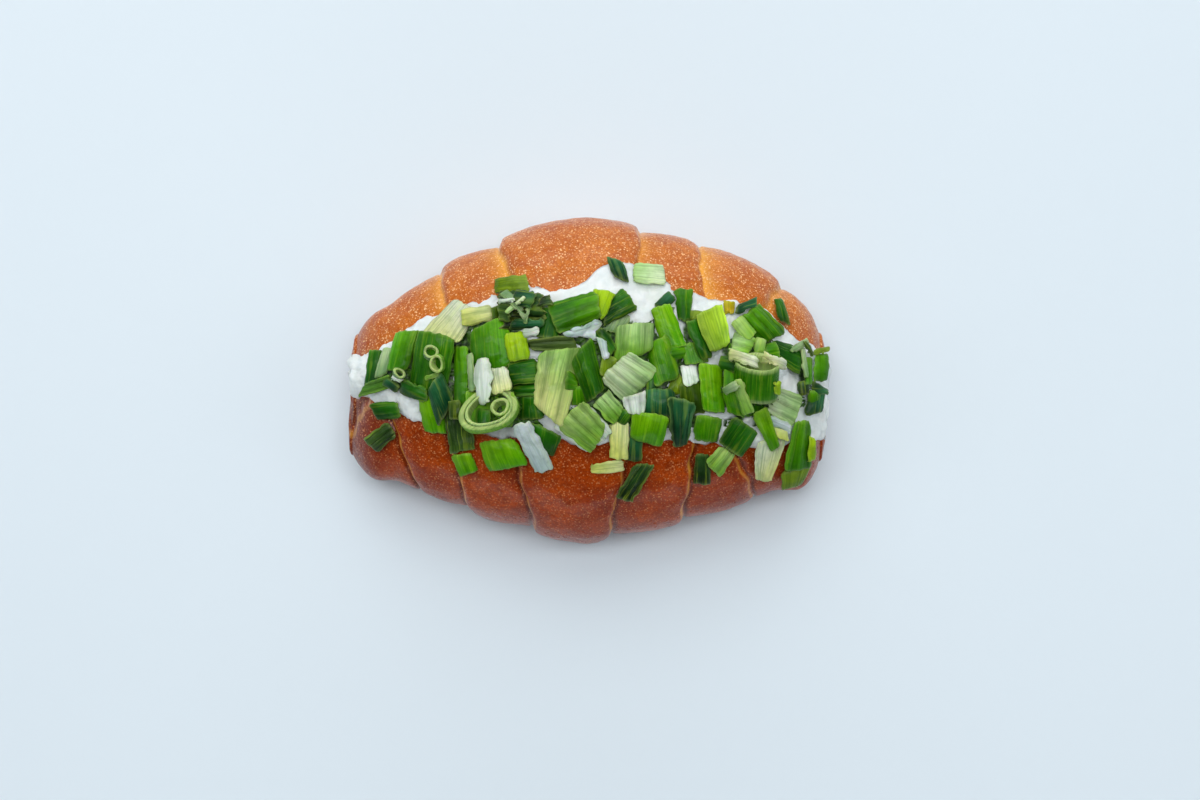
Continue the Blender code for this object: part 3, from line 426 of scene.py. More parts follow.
# Places where the cream shows between the pieces: x, y, and half sizes.
OPEN_CREAM = (
    (11.0, 26.0, 13.0, 7.0),
    (14.8, 19.8, 4.0, 4.5),
    (-48.0, -7.6, 4.0, 2.6),
    (-28.0, 21.6, 4.0, 1.8),
    (-47.5, 14.2, 3.5, 1.4),
    (-15.2, 12.6, 3.0, 2.0),
    (-14.4, 7.2, 2.4, 1.8),
    (25.6, 15.0, 1.8, 6.0),
    (35.6, 6.0, 3.2, 3.2),
    (57.0, -0.5, 4.5, 4.6),
    (56.2, 11.6, 3.4, 2.0),
    (36.5, -9.4, 6.5, 2.0),
    (37.4, -13.2, 1.2, 4.0),
    (45.6, -12.0, 2.0, 2.0),
    (-62.5, 1.0, 2.5, 5.0),
    (64.0, -11.5, 4.5, 4.0),
)
BED_TRIES = 2400
BED_CLEAR = 0.9
BED_APART = 2.2
BED_OPENNESS = 0.9

# ---------------------------------------------------------------- light
# Strength of the sky at the horizon and overhead, and how high up its brightness ends.
HORIZON_LIGHT = 0.52
ZENITH_LIGHT = 0.05
HORIZON_TOP = 0.42
SKY_COLOUR = (0.87, 0.93, 1.0, 1.0)
LIGHTS_AIM = (0.0, 0.0, 0.03)
CAMERA_LENS = 51.2
FLOOR_HALF = 2300.0
# Each soft light: name, place in metres, width and height in metres, power and colour.
LIGHTS = (
    ("key", (-0.25, 1.93, 2.30), (3.0, 1.9), 40.0, (1.0, 0.99, 0.97)),
    ("window", (0.0, 2.80, 0.85), (3.5, 0.6), 18.5, (0.97, 0.98, 1.0)),
    ("overhead", (0.0, 0.42, 2.75), (3.0, 0.7), 38.0, (0.97, 0.985, 1.0)),
    ("front", (0.0, -2.60, 0.75), (3.0, 0.5), 9.0, (0.97, 0.985, 1.0)),
    ("left_side", (-2.35, 0.10, 2.00), (1.6, 1.4), 11.0, (0.94, 0.97, 1.0)),
    ("right_side", (2.35, 0.10, 2.00), (1.6, 1.4), 11.0, (0.94, 0.97, 1.0)),
)


# ---------------------------------------------------------------- small helpers


def ease(value):
    value = np.clip(value, 0.0, 1.0)
    return value * value * (3.0 - 2.0 * value)


def roughness_field(points, size, octaves=3, seed=0):
    """Noise at each point, about -1 to 1, with features some size millimetres wide."""
    shift = Vector((seed * 7.31, seed * 3.17, seed * 5.73))
    flat = points.reshape(-1, 3) / size
    values = [noise.fractal(Vector(p) + shift, 1.0, 2.0, octaves) for p in flat]
    return np.array(values).reshape(points.shape[:-1])


def layered(points, layers):
    """Noise layers added up, each with its amount, size, octaves and seed."""
    return sum(amount * roughness_field(points, *layer) for amount, *layer in layers)


def table_value(table, x):
    """The table read along the bun, its corners rounded off."""
    known, values = [row[0] for row in table], [row[1] for row in table]
    return sum(np.interp(x + shift, known, values) for shift in (-2.0, -1.0, 0.0, 1.0, 2.0)) / 5.0


def mesh_piece(name, points, faces, looks, face_looks=None, fields=None):
    """A smooth-shaded mesh from millimetres, with its named per-point values."""
    mesh = bpy.data.meshes.new(name)
    mesh.from_pydata((np.asarray(points) * MM).tolist(), [], faces)
    for look in looks:
        mesh.materials.append(look)
    if face_looks is not None:
        mesh.polygons.foreach_set("material_index", np.asarray(face_looks, np.int32))
    mesh.polygons.foreach_set("use_smooth", np.ones(len(mesh.polygons), bool))
    for key, values in (fields or {}).items():
        values = np.asarray(values, np.float32)
        kind = {1: "FLOAT", 3: "FLOAT_VECTOR", 4: "FLOAT_COLOR"}[
            1 if values.ndim == 1 else values.shape[1]]
        socket = {"FLOAT": "value", "FLOAT_VECTOR": "vector", "FLOAT_COLOR": "color"}[kind]
        made = mesh.attributes.new(key, kind, "POINT")
        made.data.foreach_set(socket, values.ravel())
    mesh.update()
    item = bpy.data.objects.new(name, mesh)
    bpy.context.scene.collection.objects.link(item)
    return item


# ---------------------------------------------------------------- the form of the bun


def fuller(x, side, end):
    amount, start, over = CORNERS[side, end]
    return amount * ease((np.abs(x) - start) / over)


def half_width(x, side):
    left, right = WIDTH_POWERS[side]
    share = np.abs(x / ENVELOPE_HALF)
    behind = HALF_WIDTH * (1.0 - share ** left[0]) ** left[1] + fuller(x, side, -1)
    ahead = HALF_WIDTH * (1.0 - share ** right[0]) ** right[1] + fuller(x, side, 1)
    return np.where(x > 0, ahead, behind)


def crown_height(x):
    along, root = HEIGHT_POWERS
    return HEIGHT * (1.0 - np.abs(x / ENVELOPE_HALF) ** along) ** root


def slit_middle(x):
    u = x / HALF_LENGTH
    left, right = SLIT_BENDS
    return SLIT_MIDDLE - np.where(u > 0, right * u ** 3, left * u * u)


def slit_half(x):
    u = x / HALF_LENGTH
    right = SLIT_HALF_RIGHT + (SLIT_HALF - SLIT_HALF_RIGHT) * (1.0 - u ** 4)
    left = SLIT_HALF_LEFT + (SLIT_HALF - SLIT_HALF_LEFT) * np.maximum(0.0, 1.0 + u ** 3) ** 1.5
    return np.where(u > 0, right, left)


def back_pinch(x):
    """How far the back lip comes further in."""
    pinches = (amount * np.exp(-((x - middle) / reach) ** 2)
               for middle, reach, amount in LIP_PINCHES)
    return sum(pinches)


def crease_line(k, inward, side):
    """Where crease k runs, with its slight wander."""
    place, lean = CREASES[side][k]
    wander = np.sin(0.42 * inward + 2.1 * k + side) + 0.6 * np.sin(0.95 * inward + 1.3 * k)
    return place + lean * inward + CREASE_WANDER * wander


def crease_distances(x, inward, side):
    """For each crease, how far x lies beyond it on the side of the layer that tucks under."""
    found = []
    for k in range(len(CREASES[side])):
        beyond = x - crease_line(k, inward, side)
        found.append(-beyond if k < MIDDLE_LAYER[side] else beyond)
    return found


def layer_offset(x, inward, side, fine=True):
    """How far the rolled layer at x stands out, inward being the distance from the outline."""
    edges = np.array([crease_line(k, inward, side) for k in range(len(CREASES[side]))])
    rises = np.array(LAYER_RISE[side])
    index = np.sum(x > edges, axis=0)
    ends_low = np.full_like(inward, -HALF_LENGTH - 4.0)
    ends_high = np.full_like(inward, HALF_LENGTH + 4.0)
    lows = np.concatenate([ends_low[None], edges])
    highs = np.concatenate([edges, ends_high[None]])
    low = np.take_along_axis(lows, index[None], axis=0)[0]
    high = np.take_along_axis(highs, index[None], axis=0)[0]
    t = np.clip((x - low) / np.maximum(high - low, 1e-6), 0.0, 1.0)
    middle = MIDDLE_LAYER[side]
    t = np.where(index < middle, 1.0 - t, t)
    both = (1.0 - np.abs(2.0 * t - 1.0) ** 5) ** 0.5
    one = (1.0 - (1.0 - t) ** 2.2) * (1.0 - t ** 9) ** 0.5
    bulge = np.where(index == middle, both, one)
    rise = rises[index]
    for k, edge in enumerate(edges):
        near = ease(0.5 + 0.5 * (x - edge) / CREASE_BLEND)
        close = np.abs(x - edge) < CREASE_BLEND
        rise = np.where(close, rises[k] + (rises[k + 1] - rises[k]) * near, rise)
    offset = rise + CREASE_DEPTH * (bulge - 1.0)
    if fine:
        for beyond in crease_distances(x, inward, side):
            offset = offset - CREASE_CUT * np.exp(-((beyond - 0.25) / CREASE_CUT_WIDTH) ** 2)
    return offset


def crust_point(x, angle, side, fine=True):
    """Points of the bun's section: angle -90 is the lowest, 0 the widest; also the inward share."""
    x, angle = np.broadcast_arrays(np.asarray(x, float), np.asarray(angle, float))
    width = half_width(x, side)
    top = crown_height(x)
    lift = END_LIFT * np.abs(x / HALF_LENGTH) ** 8
    widest = np.minimum(WIDEST_HEIGHT, 0.55 * top + 0.3 * lift)
    cosine, sine = np.cos(angle), np.sin(angle)
    y = width * np.abs(cosine) ** SIDE_ROUNDNESS
    drop = np.minimum(1.0, BOTTOM_PRESS * np.abs(sine) ** BOTTOM_FLATNESS)
    low = widest - (widest - lift) * drop
    high = widest + (top - widest) * np.maximum(sine, 0.0) ** 0.95
    z = np.where(sine < 0, low, high)
    fade = ease((angle + 1.25) / 0.9)
    reach = np.hypot(y, z - widest)
    inward = np.where(sine > 0, np.maximum(0.0, width - y), 0.0)
    offset = layer_offset(x, inward, side, fine) * fade * np.minimum(1.0, reach / 12.0)
    scale = 1.0 + offset / np.maximum(reach, 1.0)
    y = y * scale
    z = np.maximum(widest + (z - widest) * scale, 0.0)
    along = x.copy()
    if side == FRONT:
        nose = ease(-x / HALF_LENGTH * 5.0 - 4.0) * ease((y - NOSE_FROM) / 10.0)
        along = along - NOSE_REACH * nose
    return np.stack([along, side * y, z], axis=-1), inward


def angle_at(x, y, side):
    """The section angle above the widest height where the bun is y wide."""
    low = np.zeros_like(x)
    high = np.full_like(x, math.pi / 2)
    for _ in range(HALVINGS):
        middle = (low + high) / 2
        wider = crust_point(x, middle, side, fine=False)[0][..., 1] * side > y
        low = np.where(wider, middle, low)
        high = np.where(wider, high, middle)
    return low


def lip(x, side):
    """Section angle, y and z of the edge where the slit meets the crust."""
    y = side * slit_middle(x) + slit_half(x)
    if side == BACK:
        y = y - back_pinch(x)
    limit = LIP_LIMIT * half_width(x, side)
    angle = angle_at(x, np.minimum(y + LIP_ROUND, limit), side)
    edge = crust_point(x, angle, side, fine=False)[0]
    return angle, edge[..., 1] - side * LIP_ROUND, edge[..., 2]


def groove(x, steps):
    """The cut faces, from the back lip down and up to the front lip."""
    _, y_back, z_back = lip(x, BACK)
    _, y_front, z_front = lip(x, FRONT)
    floor = np.minimum(SLIT_FLOOR, 0.5 * np.minimum(z_back, z_front))
    middle, half = (y_back + y_front) / 2, (y_back - y_front) / 2
    turn = np.linspace(0.0, math.pi, steps + 1)[None, :]
    sine = np.sin(turn)
    edge = np.where(turn < math.pi / 2, z_back[:, None], z_front[:, None]) - LIP_DROP
    y = middle[:, None] + half[:, None] * np.cos(turn) * (1.0 - SLIT_TAPER * sine)
    z = edge - (edge - floor[:, None]) * np.maximum(sine, 0.0) ** 0.7
    return np.stack([np.broadcast_to(x[:, None], y.shape), y, z], axis=-1)


def stations(count, reach):
    """Where the sections are, closer together towards the ends, with room for their rounding."""
    right = HALF_LENGTH - reach
    left = LEFT_SHORTER - right
    t = np.linspace(0.0, 1.0, count)
    return left + (right - left) * (t - END_CROWDING * np.sin(2.0 * np.pi * t) / (2.0 * np.pi))


def crease_colour_and_painted_light(x, inward, side):
    """How pale the stretched dough is beside the back's creases and how strong the painted
    highlight on the front's crease shoulders, and below zero how dark the painted shade in the
    front's creases.
    """
    pale, dark = np.zeros_like(inward), np.zeros_like(inward)
    for strength, beyond in zip(CREASE_PALE[side], crease_distances(x, inward, side)):
        if side == BACK:
            near = np.exp(-np.maximum(beyond, 0.0) / PALE_WIDTH) * ease((beyond + 0.5) / 0.8)
        else:
            # Painted highlight along the crease shoulder and painted shade in the crease beside it.
            near = np.exp(-((beyond + SHOULDER) / SHOULDER) ** 2)
            dark = np.maximum(dark, np.exp(-np.abs(beyond - SHOULDER) / PAINTED_CREASE_SHADE_WIDTH))
        pale = np.maximum(pale, strength * near)
    return pale - dark * (1.0 - pale)


def crust_half(x, side):
    """Points from the middle of the underside up to the lip, and their pale share, which also
    carries the front creases' painted highlight and painted shade.
    """
    top = lip(x, side)[0]
    low = np.linspace(-math.pi / 2, 0.0, LOW_STEPS, endpoint=False)
    low = np.broadcast_to(low[None, :], (len(x), LOW_STEPS))
    high = top[:, None] * np.linspace(0.0, 1.0, HIGH_STEPS + 1)[None, :]
    angles = np.concatenate([low, high], axis=1)
    points, inward = crust_point(x[:, None], angles, side)
    pale = crease_colour_and_painted_light(np.broadcast_to(x[:, None], inward.shape), inward, side)
    return points, pale * ease((angles + 0.9) / 0.9), angles


def ring_turn(ring):
    before = np.roll(ring, 1, axis=0)
    area = np.sum(before[:, 1] * ring[:, 2] - ring[:, 1] * before[:, 2])
    return 1.0 if area > 0 else -1.0


def end_rings(ring, direction, reach, inset):
    """Rings that round off an end, each drawn in and moved out a little further."""
    before, after = np.roll(ring, 1, axis=0), np.roll(ring, -1, axis=0)
    tangent = (after - before)[:, 1:]
    length = np.maximum(np.hypot(tangent[:, 0], tangent[:, 1]), 1e-6)
    turned = ring_turn(ring)
    rings = []
    for k in range(1, END_STEPS + 1):
        turn = math.pi / 2 * k / END_STEPS
        drawn = inset * (1.0 - math.cos(turn))
        moved = ring.copy()
        moved[:, 0] += direction * reach * math.sin(turn)
        moved[:, 1] -= turned * tangent[:, 1] / length * drawn
        moved[:, 2] += turned * tangent[:, 0] / length * drawn
        rings.append(moved)
    return rings


def with_ends(rings, reach, inset):
    """All rings of a loft, with its two ends rounded."""
    left = end_rings(rings[0], -1.0, reach, inset)
    right = end_rings(rings[-1], 1.0, reach, inset)
    return np.concatenate([np.array(left[::-1]), rings, np.array(right)])


def loft_faces(rows, size, closed=False):
    """Quads between rings of equal size, also from the last to the first if closed."""
    faces = []
    for k in range(rows if closed else rows - 1):
        here, there = k * size, (k + 1) % rows * size
        for j in range(size):
            n = (j + 1) % size
            faces.append((here + j, here + n, there + n, there + j))
    return faces


def sheet_faces(rows, columns):
    """Quads of a grid's underside and, a whole grid further on, of its top."""
    faces, count = [], rows * columns
    for i in range(rows - 1):
        for j in range(columns - 1):
            a = i * columns + j
            under = (a, a + 1, a + columns + 1, a + columns)
            faces += [under, tuple(count + b for b in (under[0], *under[:0:-1]))]
    return faces


def distinct(face):
    """The face without repeated corners."""
    kept = [int(a) for k, a in enumerate(face) if a != face[k - 1]]
    return tuple(kept)


def slit_cap(ring, first, direction, offset):
    """The domed end face, between the outline of the section and the slit's own line."""
    outer = first + (GROOVE_STEPS - np.arange(2 * GROOVE_STEPS + 1)) % len(ring)
    inner = first + GROOVE_STEPS + 1 + np.arange(GROOVE_STEPS + 1)
    a, b = ring[outer[::2] - first], ring[inner - first]
    rows, index = [], [outer[::2]]
    for k in range(1, CAP_ROWS):
        t = k / CAP_ROWS
        row = a * (1.0 - t) + b * t
        row[:, 0] += direction * END_DOME * 4.0 * t * (1.0 - t)
        new = offset + (k - 1) * (GROOVE_STEPS - 1) + np.arange(GROOVE_STEPS - 1)
        ends = outer if t < 0.5 else inner
        index.append(np.concatenate([[ends[0]], new, [ends[-1]]]))
        rows.append(row[1:-1])
    index.append(inner)
    faces = []
    for j in range(GROOVE_STEPS):
        o, n = outer[2 * j:2 * j + 3], index[1][j:j + 2]
        faces += [(o[0], o[1], n[0]), (o[1], n[1], n[0]), (o[1], o[2], n[1])]
    for o, n in zip(index[1:-1], index[2:]):
        for j in range(GROOVE_STEPS):
            faces.append((o[j], o[j + 1], n[j + 1], n[j]))
    faces = [distinct(face) for face in faces]
    return np.concatenate(rows), [face for face in faces if len(face) > 2]


def face_outwards(item):
    shape = bmesh.new()
    shape.from_mesh(item.data)
    bmesh.ops.recalc_face_normals(shape, faces=shape.faces)
    if shape.calc_volume(signed=True) < 0:
        bmesh.ops.reverse_faces(shape, faces=shape.faces)
    shape.to_mesh(item.data)
    shape.free()


def swell(item, amount):
    """Move each point along its normal by its own amount of millimetres."""
    mesh = item.data
    count = len(mesh.vertices)
    places, normals = np.empty(count * 3), np.empty(count * 3)
    mesh.vertices.foreach_get("co", places)
    mesh.vertices.foreach_get("normal", normals)
    moved = places.reshape(-1, 3) + normals.reshape(-1, 3) * (amount * MM)[:, None]
    mesh.vertices.foreach_set("co", moved.ravel())
    mesh.update()


def around(back, cut, front):
    """One ring of values from those of the back, the cut faces and the front."""
    return np.concatenate([back, cut, front[:, :0:-1]], axis=1)


def make_bread(looks):
    x = stations(BREAD_STATIONS, END_REACH)
    back, back_pale, back_angle = crust_half(x, BACK)
    front, front_pale, front_angle = crust_half(x, FRONT)
    cut = groove(x, GROOVE_STEPS)
    none = np.zeros(cut.shape[:2])
    rings = around(back, cut, front)
    pale = around(back_pale, none, front_pale)
    angle = around(back_angle, none, front_angle)
    inside = around(back_pale * 0, none + 1, front_pale * 0)
    rings = with_ends(rings, END_REACH, END_INSET)
    repeat = [0] * END_STEPS + list(range(len(x))) + [len(x) - 1] * END_STEPS
    size = rings.shape[1]
    points = rings.reshape(-1, 3)
    faces = loft_faces(len(rings), size)
    cut_faces = [GROOVE_STEPS <= k % size <= 2 * GROOVE_STEPS + 1 for k in range(len(faces))]
    fields = [field[repeat].ravel() for field in (pale, angle, inside)]
    for ring, first, direction in ((rings[0], 0, -1.0), (rings[-1], len(points) - size, 1.0)):
        more, cap = slit_cap(ring, first, direction, len(points))
        points = np.concatenate([points, more])
        fields = [np.concatenate([field, np.zeros(len(more))]) for field in fields]
        faces += cap
        cut_faces += [False] * len(cap)
    pale, angle, inside = fields
    # The pale field carries pale dough, and at the front the creases' painted highlight and, below
    # zero, painted shade.
    shown = {"pale": pale, "under": -angle}
    item = mesh_piece("bread_crust", points, faces, looks, cut_faces, shown)
    face_outwards(item)
    swell(item, layered(points, BREAD_LUMPS) * (1.0 - inside) * ease((angle + 1.35) / 0.6))
    return item


# ---------------------------------------------------------------- the cream cheese


def height_over(tree, x, y, missed=0.0):
    """How high the shape stands at a place, or the missed value beside it."""
    hit = tree.ray_cast(Vector((x * MM, y * MM, RAY_START)), Vector((0.0, 0.0, -1.0)))[0]
    return hit.z / MM if hit else missed


def cream_reach(x, side):
    """How far the cream spreads over the crust beyond the lip, with its ragged line."""
    line = np.stack([x, np.full_like(x, 40.0 * side), np.zeros_like(x)], axis=-1)
    ragged = RAGGED_REACH * layered(line, CREAM_RAGGED)
    return np.maximum(LEAST_SPREAD, table_value(CREAM_SPREAD[side], x) + ragged)


def cream_edge(x, side, tree):
    """The underside from the edge of the spread in to the lip."""
    angle, lip_y, _ = lip(x, side)
    lip_out = np.abs(crust_point(x, angle, side)[0][..., 1])
    reach = cream_reach(x, side)
    rows = []
    for share in (1.0, 0.75, 0.5, 0.25, 0.0):
        y = side * (lip_out + share * reach)
        z = np.array([height_over(tree, *place) for place in zip(x, y)]) - 0.12
        rows.append(np.stack([x, y, z], axis=-1))
    inner = np.stack([x, lip_y - side * GAP, rows[-1][:, 2] - 0.9], axis=-1)
    return np.stack(rows + [inner], axis=1)


def evened(values, reach=14):
    """The values with their quick changes along the bun taken out."""
    padded = np.pad(values, reach, mode="edge")
    return np.convolve(padded, np.full(2 * reach + 1, 1.0 / (2 * reach + 1)), mode="valid")


def cream_top(x, start, end):
    """The mounded surface between the two edges of the spread."""
    turn = np.linspace(0.0, math.pi, CREAM_STEPS + 1)
    t = 0.35 * (1.0 - np.cos(turn)) / 2 + 0.65 * turn / math.pi
    v = 2.0 * t - 1.0
    rise = CREAM_RISE * (1.0 - 0.45 * (x / HALF_LENGTH) ** 2)
    y = start[:, None, 1] + (end - start)[:, None, 1] * t
    wide = np.abs(end - start)[:, None, 1]
    inside = np.minimum(t, 1.0 - t) * wide
    edge_base = start[:, None, 2] + (end - start)[:, None, 2] * t
    base = evened(start[:, 2])[:, None] * (1.0 - t) + evened(end[:, 2])[:, None] * t
    base = base + (edge_base - base) * np.exp(-inside / 1.5)
    lumps = 0.7 * np.sin(0.37 * x[:, None] + 0.3 * y) * np.sin(0.23 * y + 1.0)
    edge = CREAM_EDGE * (1.0 - (1.0 - np.minimum(inside / 1.0, 1.0)) ** 2) ** 0.5
    z = base + edge + (rise[:, None] + lumps) * (1.0 - np.abs(v) ** 3)
    return np.stack([np.broadcast_to(x[:, None], y.shape), y, z], axis=-1)


def cream_fill(x):
    """The underside inside the slit, a little off the cut faces."""
    cut = groove(x, SLIT_UNDER_STEPS)
    tangent = cut[:, 2:, 1:] - cut[:, :-2, 1:]
    length = np.hypot(tangent[..., 0], tangent[..., 1])
    under = cut[:, 1:-1].copy()
    under[..., 1] += tangent[..., 1] / length * GAP
    under[..., 2] -= tangent[..., 0] / length * GAP
    return under


def make_cream(bread, look):
    tree = BVHTree.FromObject(bread, bpy.context.evaluated_depsgraph_get())
    x = stations(CREAM_STATIONS, CREAM_END_REACH)
    back, front = cream_edge(x, BACK, tree), cream_edge(x, FRONT, tree)
    top = cream_top(x, back[:, 0], front[:, 0])
    fill = cream_fill(x)
    rings = np.concatenate([back, fill, front[:, ::-1], top[:, -2:0:-1]], axis=1)
    bare = back.shape[1] * 2 + fill.shape[1]
    rings = with_ends(rings, CREAM_END_REACH, CREAM_END_INSET)
    size = rings.shape[1]
    points = rings.reshape(-1, 3)
    faces = loft_faces(len(rings), size)
    shown = np.broadcast_to(np.arange(size) >= bare, (len(rings), size)).ravel().astype(float)
    for ring, first, direction in ((rings[0], 0, -1.0), (rings[-1], len(points) - size, 1.0)):
        middle = ring.mean(axis=0)
        previous = first + np.arange(size)
        for k in range(1, CREAM_CAP_RINGS + 1):
            t = k / (CREAM_CAP_RINGS + 1)
            row = ring * (1.0 - t) + middle * t
            row[:, 0] += direction * 0.5 * (1.0 - (1.0 - t) ** 2)
            new = len(points) + np.arange(size)
            points = np.concatenate([points, row])
            shown = np.concatenate([shown, np.ones(size)])
            for j in range(size):
                n = (j + 1) % size
                faces.append((previous[j], previous[n], new[n], new[j]))
            previous = new
        faces.append(tuple(previous))
    item = mesh_piece("cream_cheese_fill", points, faces, [look])
    face_outwards(item)
    folds = layered(points * np.array([0.45, 1.0, 1.0]), CREAM_FOLDS)
    swell(item, (folds + layered(points, CREAM_LUMPS)) * shown)
    return item


# ---------------------------------------------------------------- the scallions


class Relief:
    """Heights over a grid, with the bare food below and the heap so far above it."""

    def __init__(self, solids):
        self.nx = int(2 * RASTER_HALF_X / RASTER_STEP) + 1
        self.ny = int(2 * RASTER_HALF_Y / RASTER_STEP) + 1
        trees = [BVHTree.FromObject(item, bpy.context.evaluated_depsgraph_get()) for item in solids]
        self.ground = np.empty((self.nx, self.ny))
        for i, j in np.ndindex(self.nx, self.ny):
            x, y = i * RASTER_STEP - RASTER_HALF_X, j * RASTER_STEP - RASTER_HALF_Y
            self.ground[i, j] = max(height_over(tree, x, y, NO_GROUND) for tree in trees)
        self.heap = self.ground.copy()
        self.bare = self.ground.copy()
        self.settled = False

    def over(self, heights):
        """The same grid with other heights, on which pieces leave no mark."""
        other = Relief.__new__(Relief)
        other.nx, other.ny, other.settled = self.nx, self.ny, True
        other.ground, other.heap = heights, heights
        return other

    def highest(self, field, x, y, around=1):
        i = min(self.nx - 1, max(0, int(round((x + RASTER_HALF_X) / RASTER_STEP))))
        j = min(self.ny - 1, max(0, int(round((y + RASTER_HALF_Y) / RASTER_STEP))))
        return field[max(0, i - around):i + around + 1, max(0, j - around):j + around + 1].max()

    def stamp(self, points, alone=False):
        if self.settled:
            return
        i = np.clip(np.rint((points[:, 0] + RASTER_HALF_X) / RASTER_STEP), 0, self.nx - 1)
        j = np.clip(np.rint((points[:, 1] + RASTER_HALF_Y) / RASTER_STEP), 0, self.ny - 1)
        cells = (i.astype(int), j.astype(int))
        np.maximum.at(self.heap, cells, points[:, 2])
        if alone:
            np.maximum.at(self.ground, cells, points[:, 2])


class Kind:
    """Pieces of one kind, gathered into one mesh."""

    def __init__(self):
        self.points, self.faces, self.tints, self.fibres = [], [], [], []
        self.count = 0

    def add(self, points, faces, tint, fibre):
        self.faces += [tuple(int(a) + self.count for a in face) for face in faces]
        self.points.append(points)
        self.tints.append(tint)
        self.fibres.append(fibre)
        self.count += len(points)

    def build(self, name, look):
        fields = {"tint": np.concatenate(self.tints), "fibre": np.concatenate(self.fibres)}
        return mesh_piece(name, np.concatenate(self.points), self.faces, [look], None, fields)


def bow(v, width, arc):
    """Height of a bent sheet over its edges, v across it from -1 to 1."""
    half = np.radians(np.maximum(np.abs(arc), 1.0)) / 2
    radius = width / 2 / np.sin(half)
    height = radius * np.cos(v * half) - radius * np.cos(half)
    return np.where(arc > 0, height, -height)


def furrow(piece, v):
    """Depth share of the lengthwise furrows between the ridges of a piece."""
    return 0.5 - 0.5 * np.cos(np.pi * piece.ridges * (v + 1.0))


def sheet_point(piece, u, v, bend):
    """Place and own height of a sheet's underside, u along its fibres from -1 to 1."""
    half = math.radians(max(abs(piece.arc), 1.0)) / 2
    share = np.sin(v * half) / math.sin(half) * (1.0 + piece.belly * (1.0 - u * u))
    a, b, c, d = piece.corners
    t = np.asarray((u + 1.0) / 2)[..., None]
    near, far = a + (b - a) * t, d + (c - d) * t
    spot = (near + far) / 2 + (far - near) / 2 * np.asarray(share)[..., None]
    own = bow(v, piece.width, piece.arc) + bend * (1.0 - u * u)
    own = own - RIDGE * furrow(piece, v) * (1.0 - 0.4 * u * u)
    return spot[..., 0], spot[..., 1], own


def held_places(relief, piece, bend):
    """Five by five places of a sheet: u, v, x, y, own height and how high the heap is there."""
    for i, j in np.ndindex(HOLDS, HOLDS):
        u, v = i / 2.0 - 1.0, j / 2.0 - 1.0
        px, py, own = sheet_point(piece, u, v, bend)
        yield u, v, px, py, own, relief.highest(relief.heap, px, py)


def settle(relief, piece, bend):
    """The level and the two slopes at which a sheet rests on most of what lies under it."""
    rows, wanted, floor = [], [], []
    for u, v, px, py, own, below in held_places(relief, piece, bend):
        if below < NO_GROUND / 10.0:
            continue
        rows.append((1.0, u, v))
        wanted.append(below - own)
        floor.append(relief.highest(relief.ground, px, py) + 0.1 - own)
    rows, wanted, floor = np.array(rows), np.array(wanted), np.array(floor)
    slopes = np.linalg.lstsq(rows, wanted, rcond=None)[0][1:]
    limits = STEEPEST * np.array((piece.length, piece.width)) / 2
    slopes = np.clip(slopes, -limits, limits)
    plane = rows[:, 1:] @ slopes
    level = max(np.quantile(wanted - plane, REST_SHARE) - SINK, np.max(floor - plane))
    return level, *slopes


def lift_controls(relief, piece, rest, bend):
    """How far the sheet flexes up where the heap stands higher, at five by five places."""
    lift = []
    for u, v, _, _, own, below in held_places(relief, piece, bend):
        plane = rest[0] + rest[1] * u + rest[2] * v + own
        lift.append(FLEX * min(FLEX_MOST, max(0.0, below - plane)))
    return np.array(lift).reshape(HOLDS, HOLDS)


def bernstein(values):
    """Weights of the control values at each place from -1 to 1."""
    t = np.clip((values + 1.0) / 2.0, 0.0, 1.0)
    last = HOLDS - 1
    weights = [math.comb(last, k) * t ** k * (1.0 - t) ** (last - k) for k in range(HOLDS)]
    return np.stack(weights, axis=-1)


def edge_lines(count):
    """Grid lines from -1 to 1, two of them close to each edge."""
    inner = np.linspace(-0.93, 0.93, count - 2)
    return np.concatenate([[-1.0, -0.975], inner, [0.975, 1.0]])


def rim_of(rows, columns):
    rim = [(0, j) for j in range(columns)]
    rim += [(i, columns - 1) for i in range(1, rows)]
    rim += [(rows - 1, j) for j in range(columns - 2, -1, -1)]
    rim += [(i, 0) for i in range(rows - 2, 0, -1)]
    return rim


def sheet_tint(u, v, piece, draw):
    """Colour of each point: from one end's to the other's, paler along the cut edges, with painted
    light across the piece and painted shade in its furrows.
    """
    first, last, _ = TINTS[piece.tint]
    drift = 0.35 * v * draw.uniform(-1.0, 1.0)
    share = ease((u + 1.0) / 2.0 + drift)[..., None]
    tint = np.array(first) * (1.0 - share) + np.array(last) * share
    # Painted light: the piece is brighter towards one side as its side value sets, partly its own
    # colour, and has painted shade in its furrows.
    light = np.exp(0.6 * piece.side * v) * (1.0 - 0.3 * furrow(piece, v))
    tint = tint * (light * draw.uniform(0.9, 1.1))[..., None]
    from_end = (1.0 - np.abs(u)) * piece.length / 2
    from_side = (1.0 - np.abs(v)) * piece.width / 2
    rim = 0.5 * np.exp(-from_end / 0.3) + 0.3 * np.exp(-from_side / 0.25)
    paler = tint * 0.5 + 0.5 * np.array(EDGE_TINT)
    tint = tint + (paler - tint) * np.minimum(rim, 0.6)[..., None]
    tint[..., 3] = 1.0
    return tint


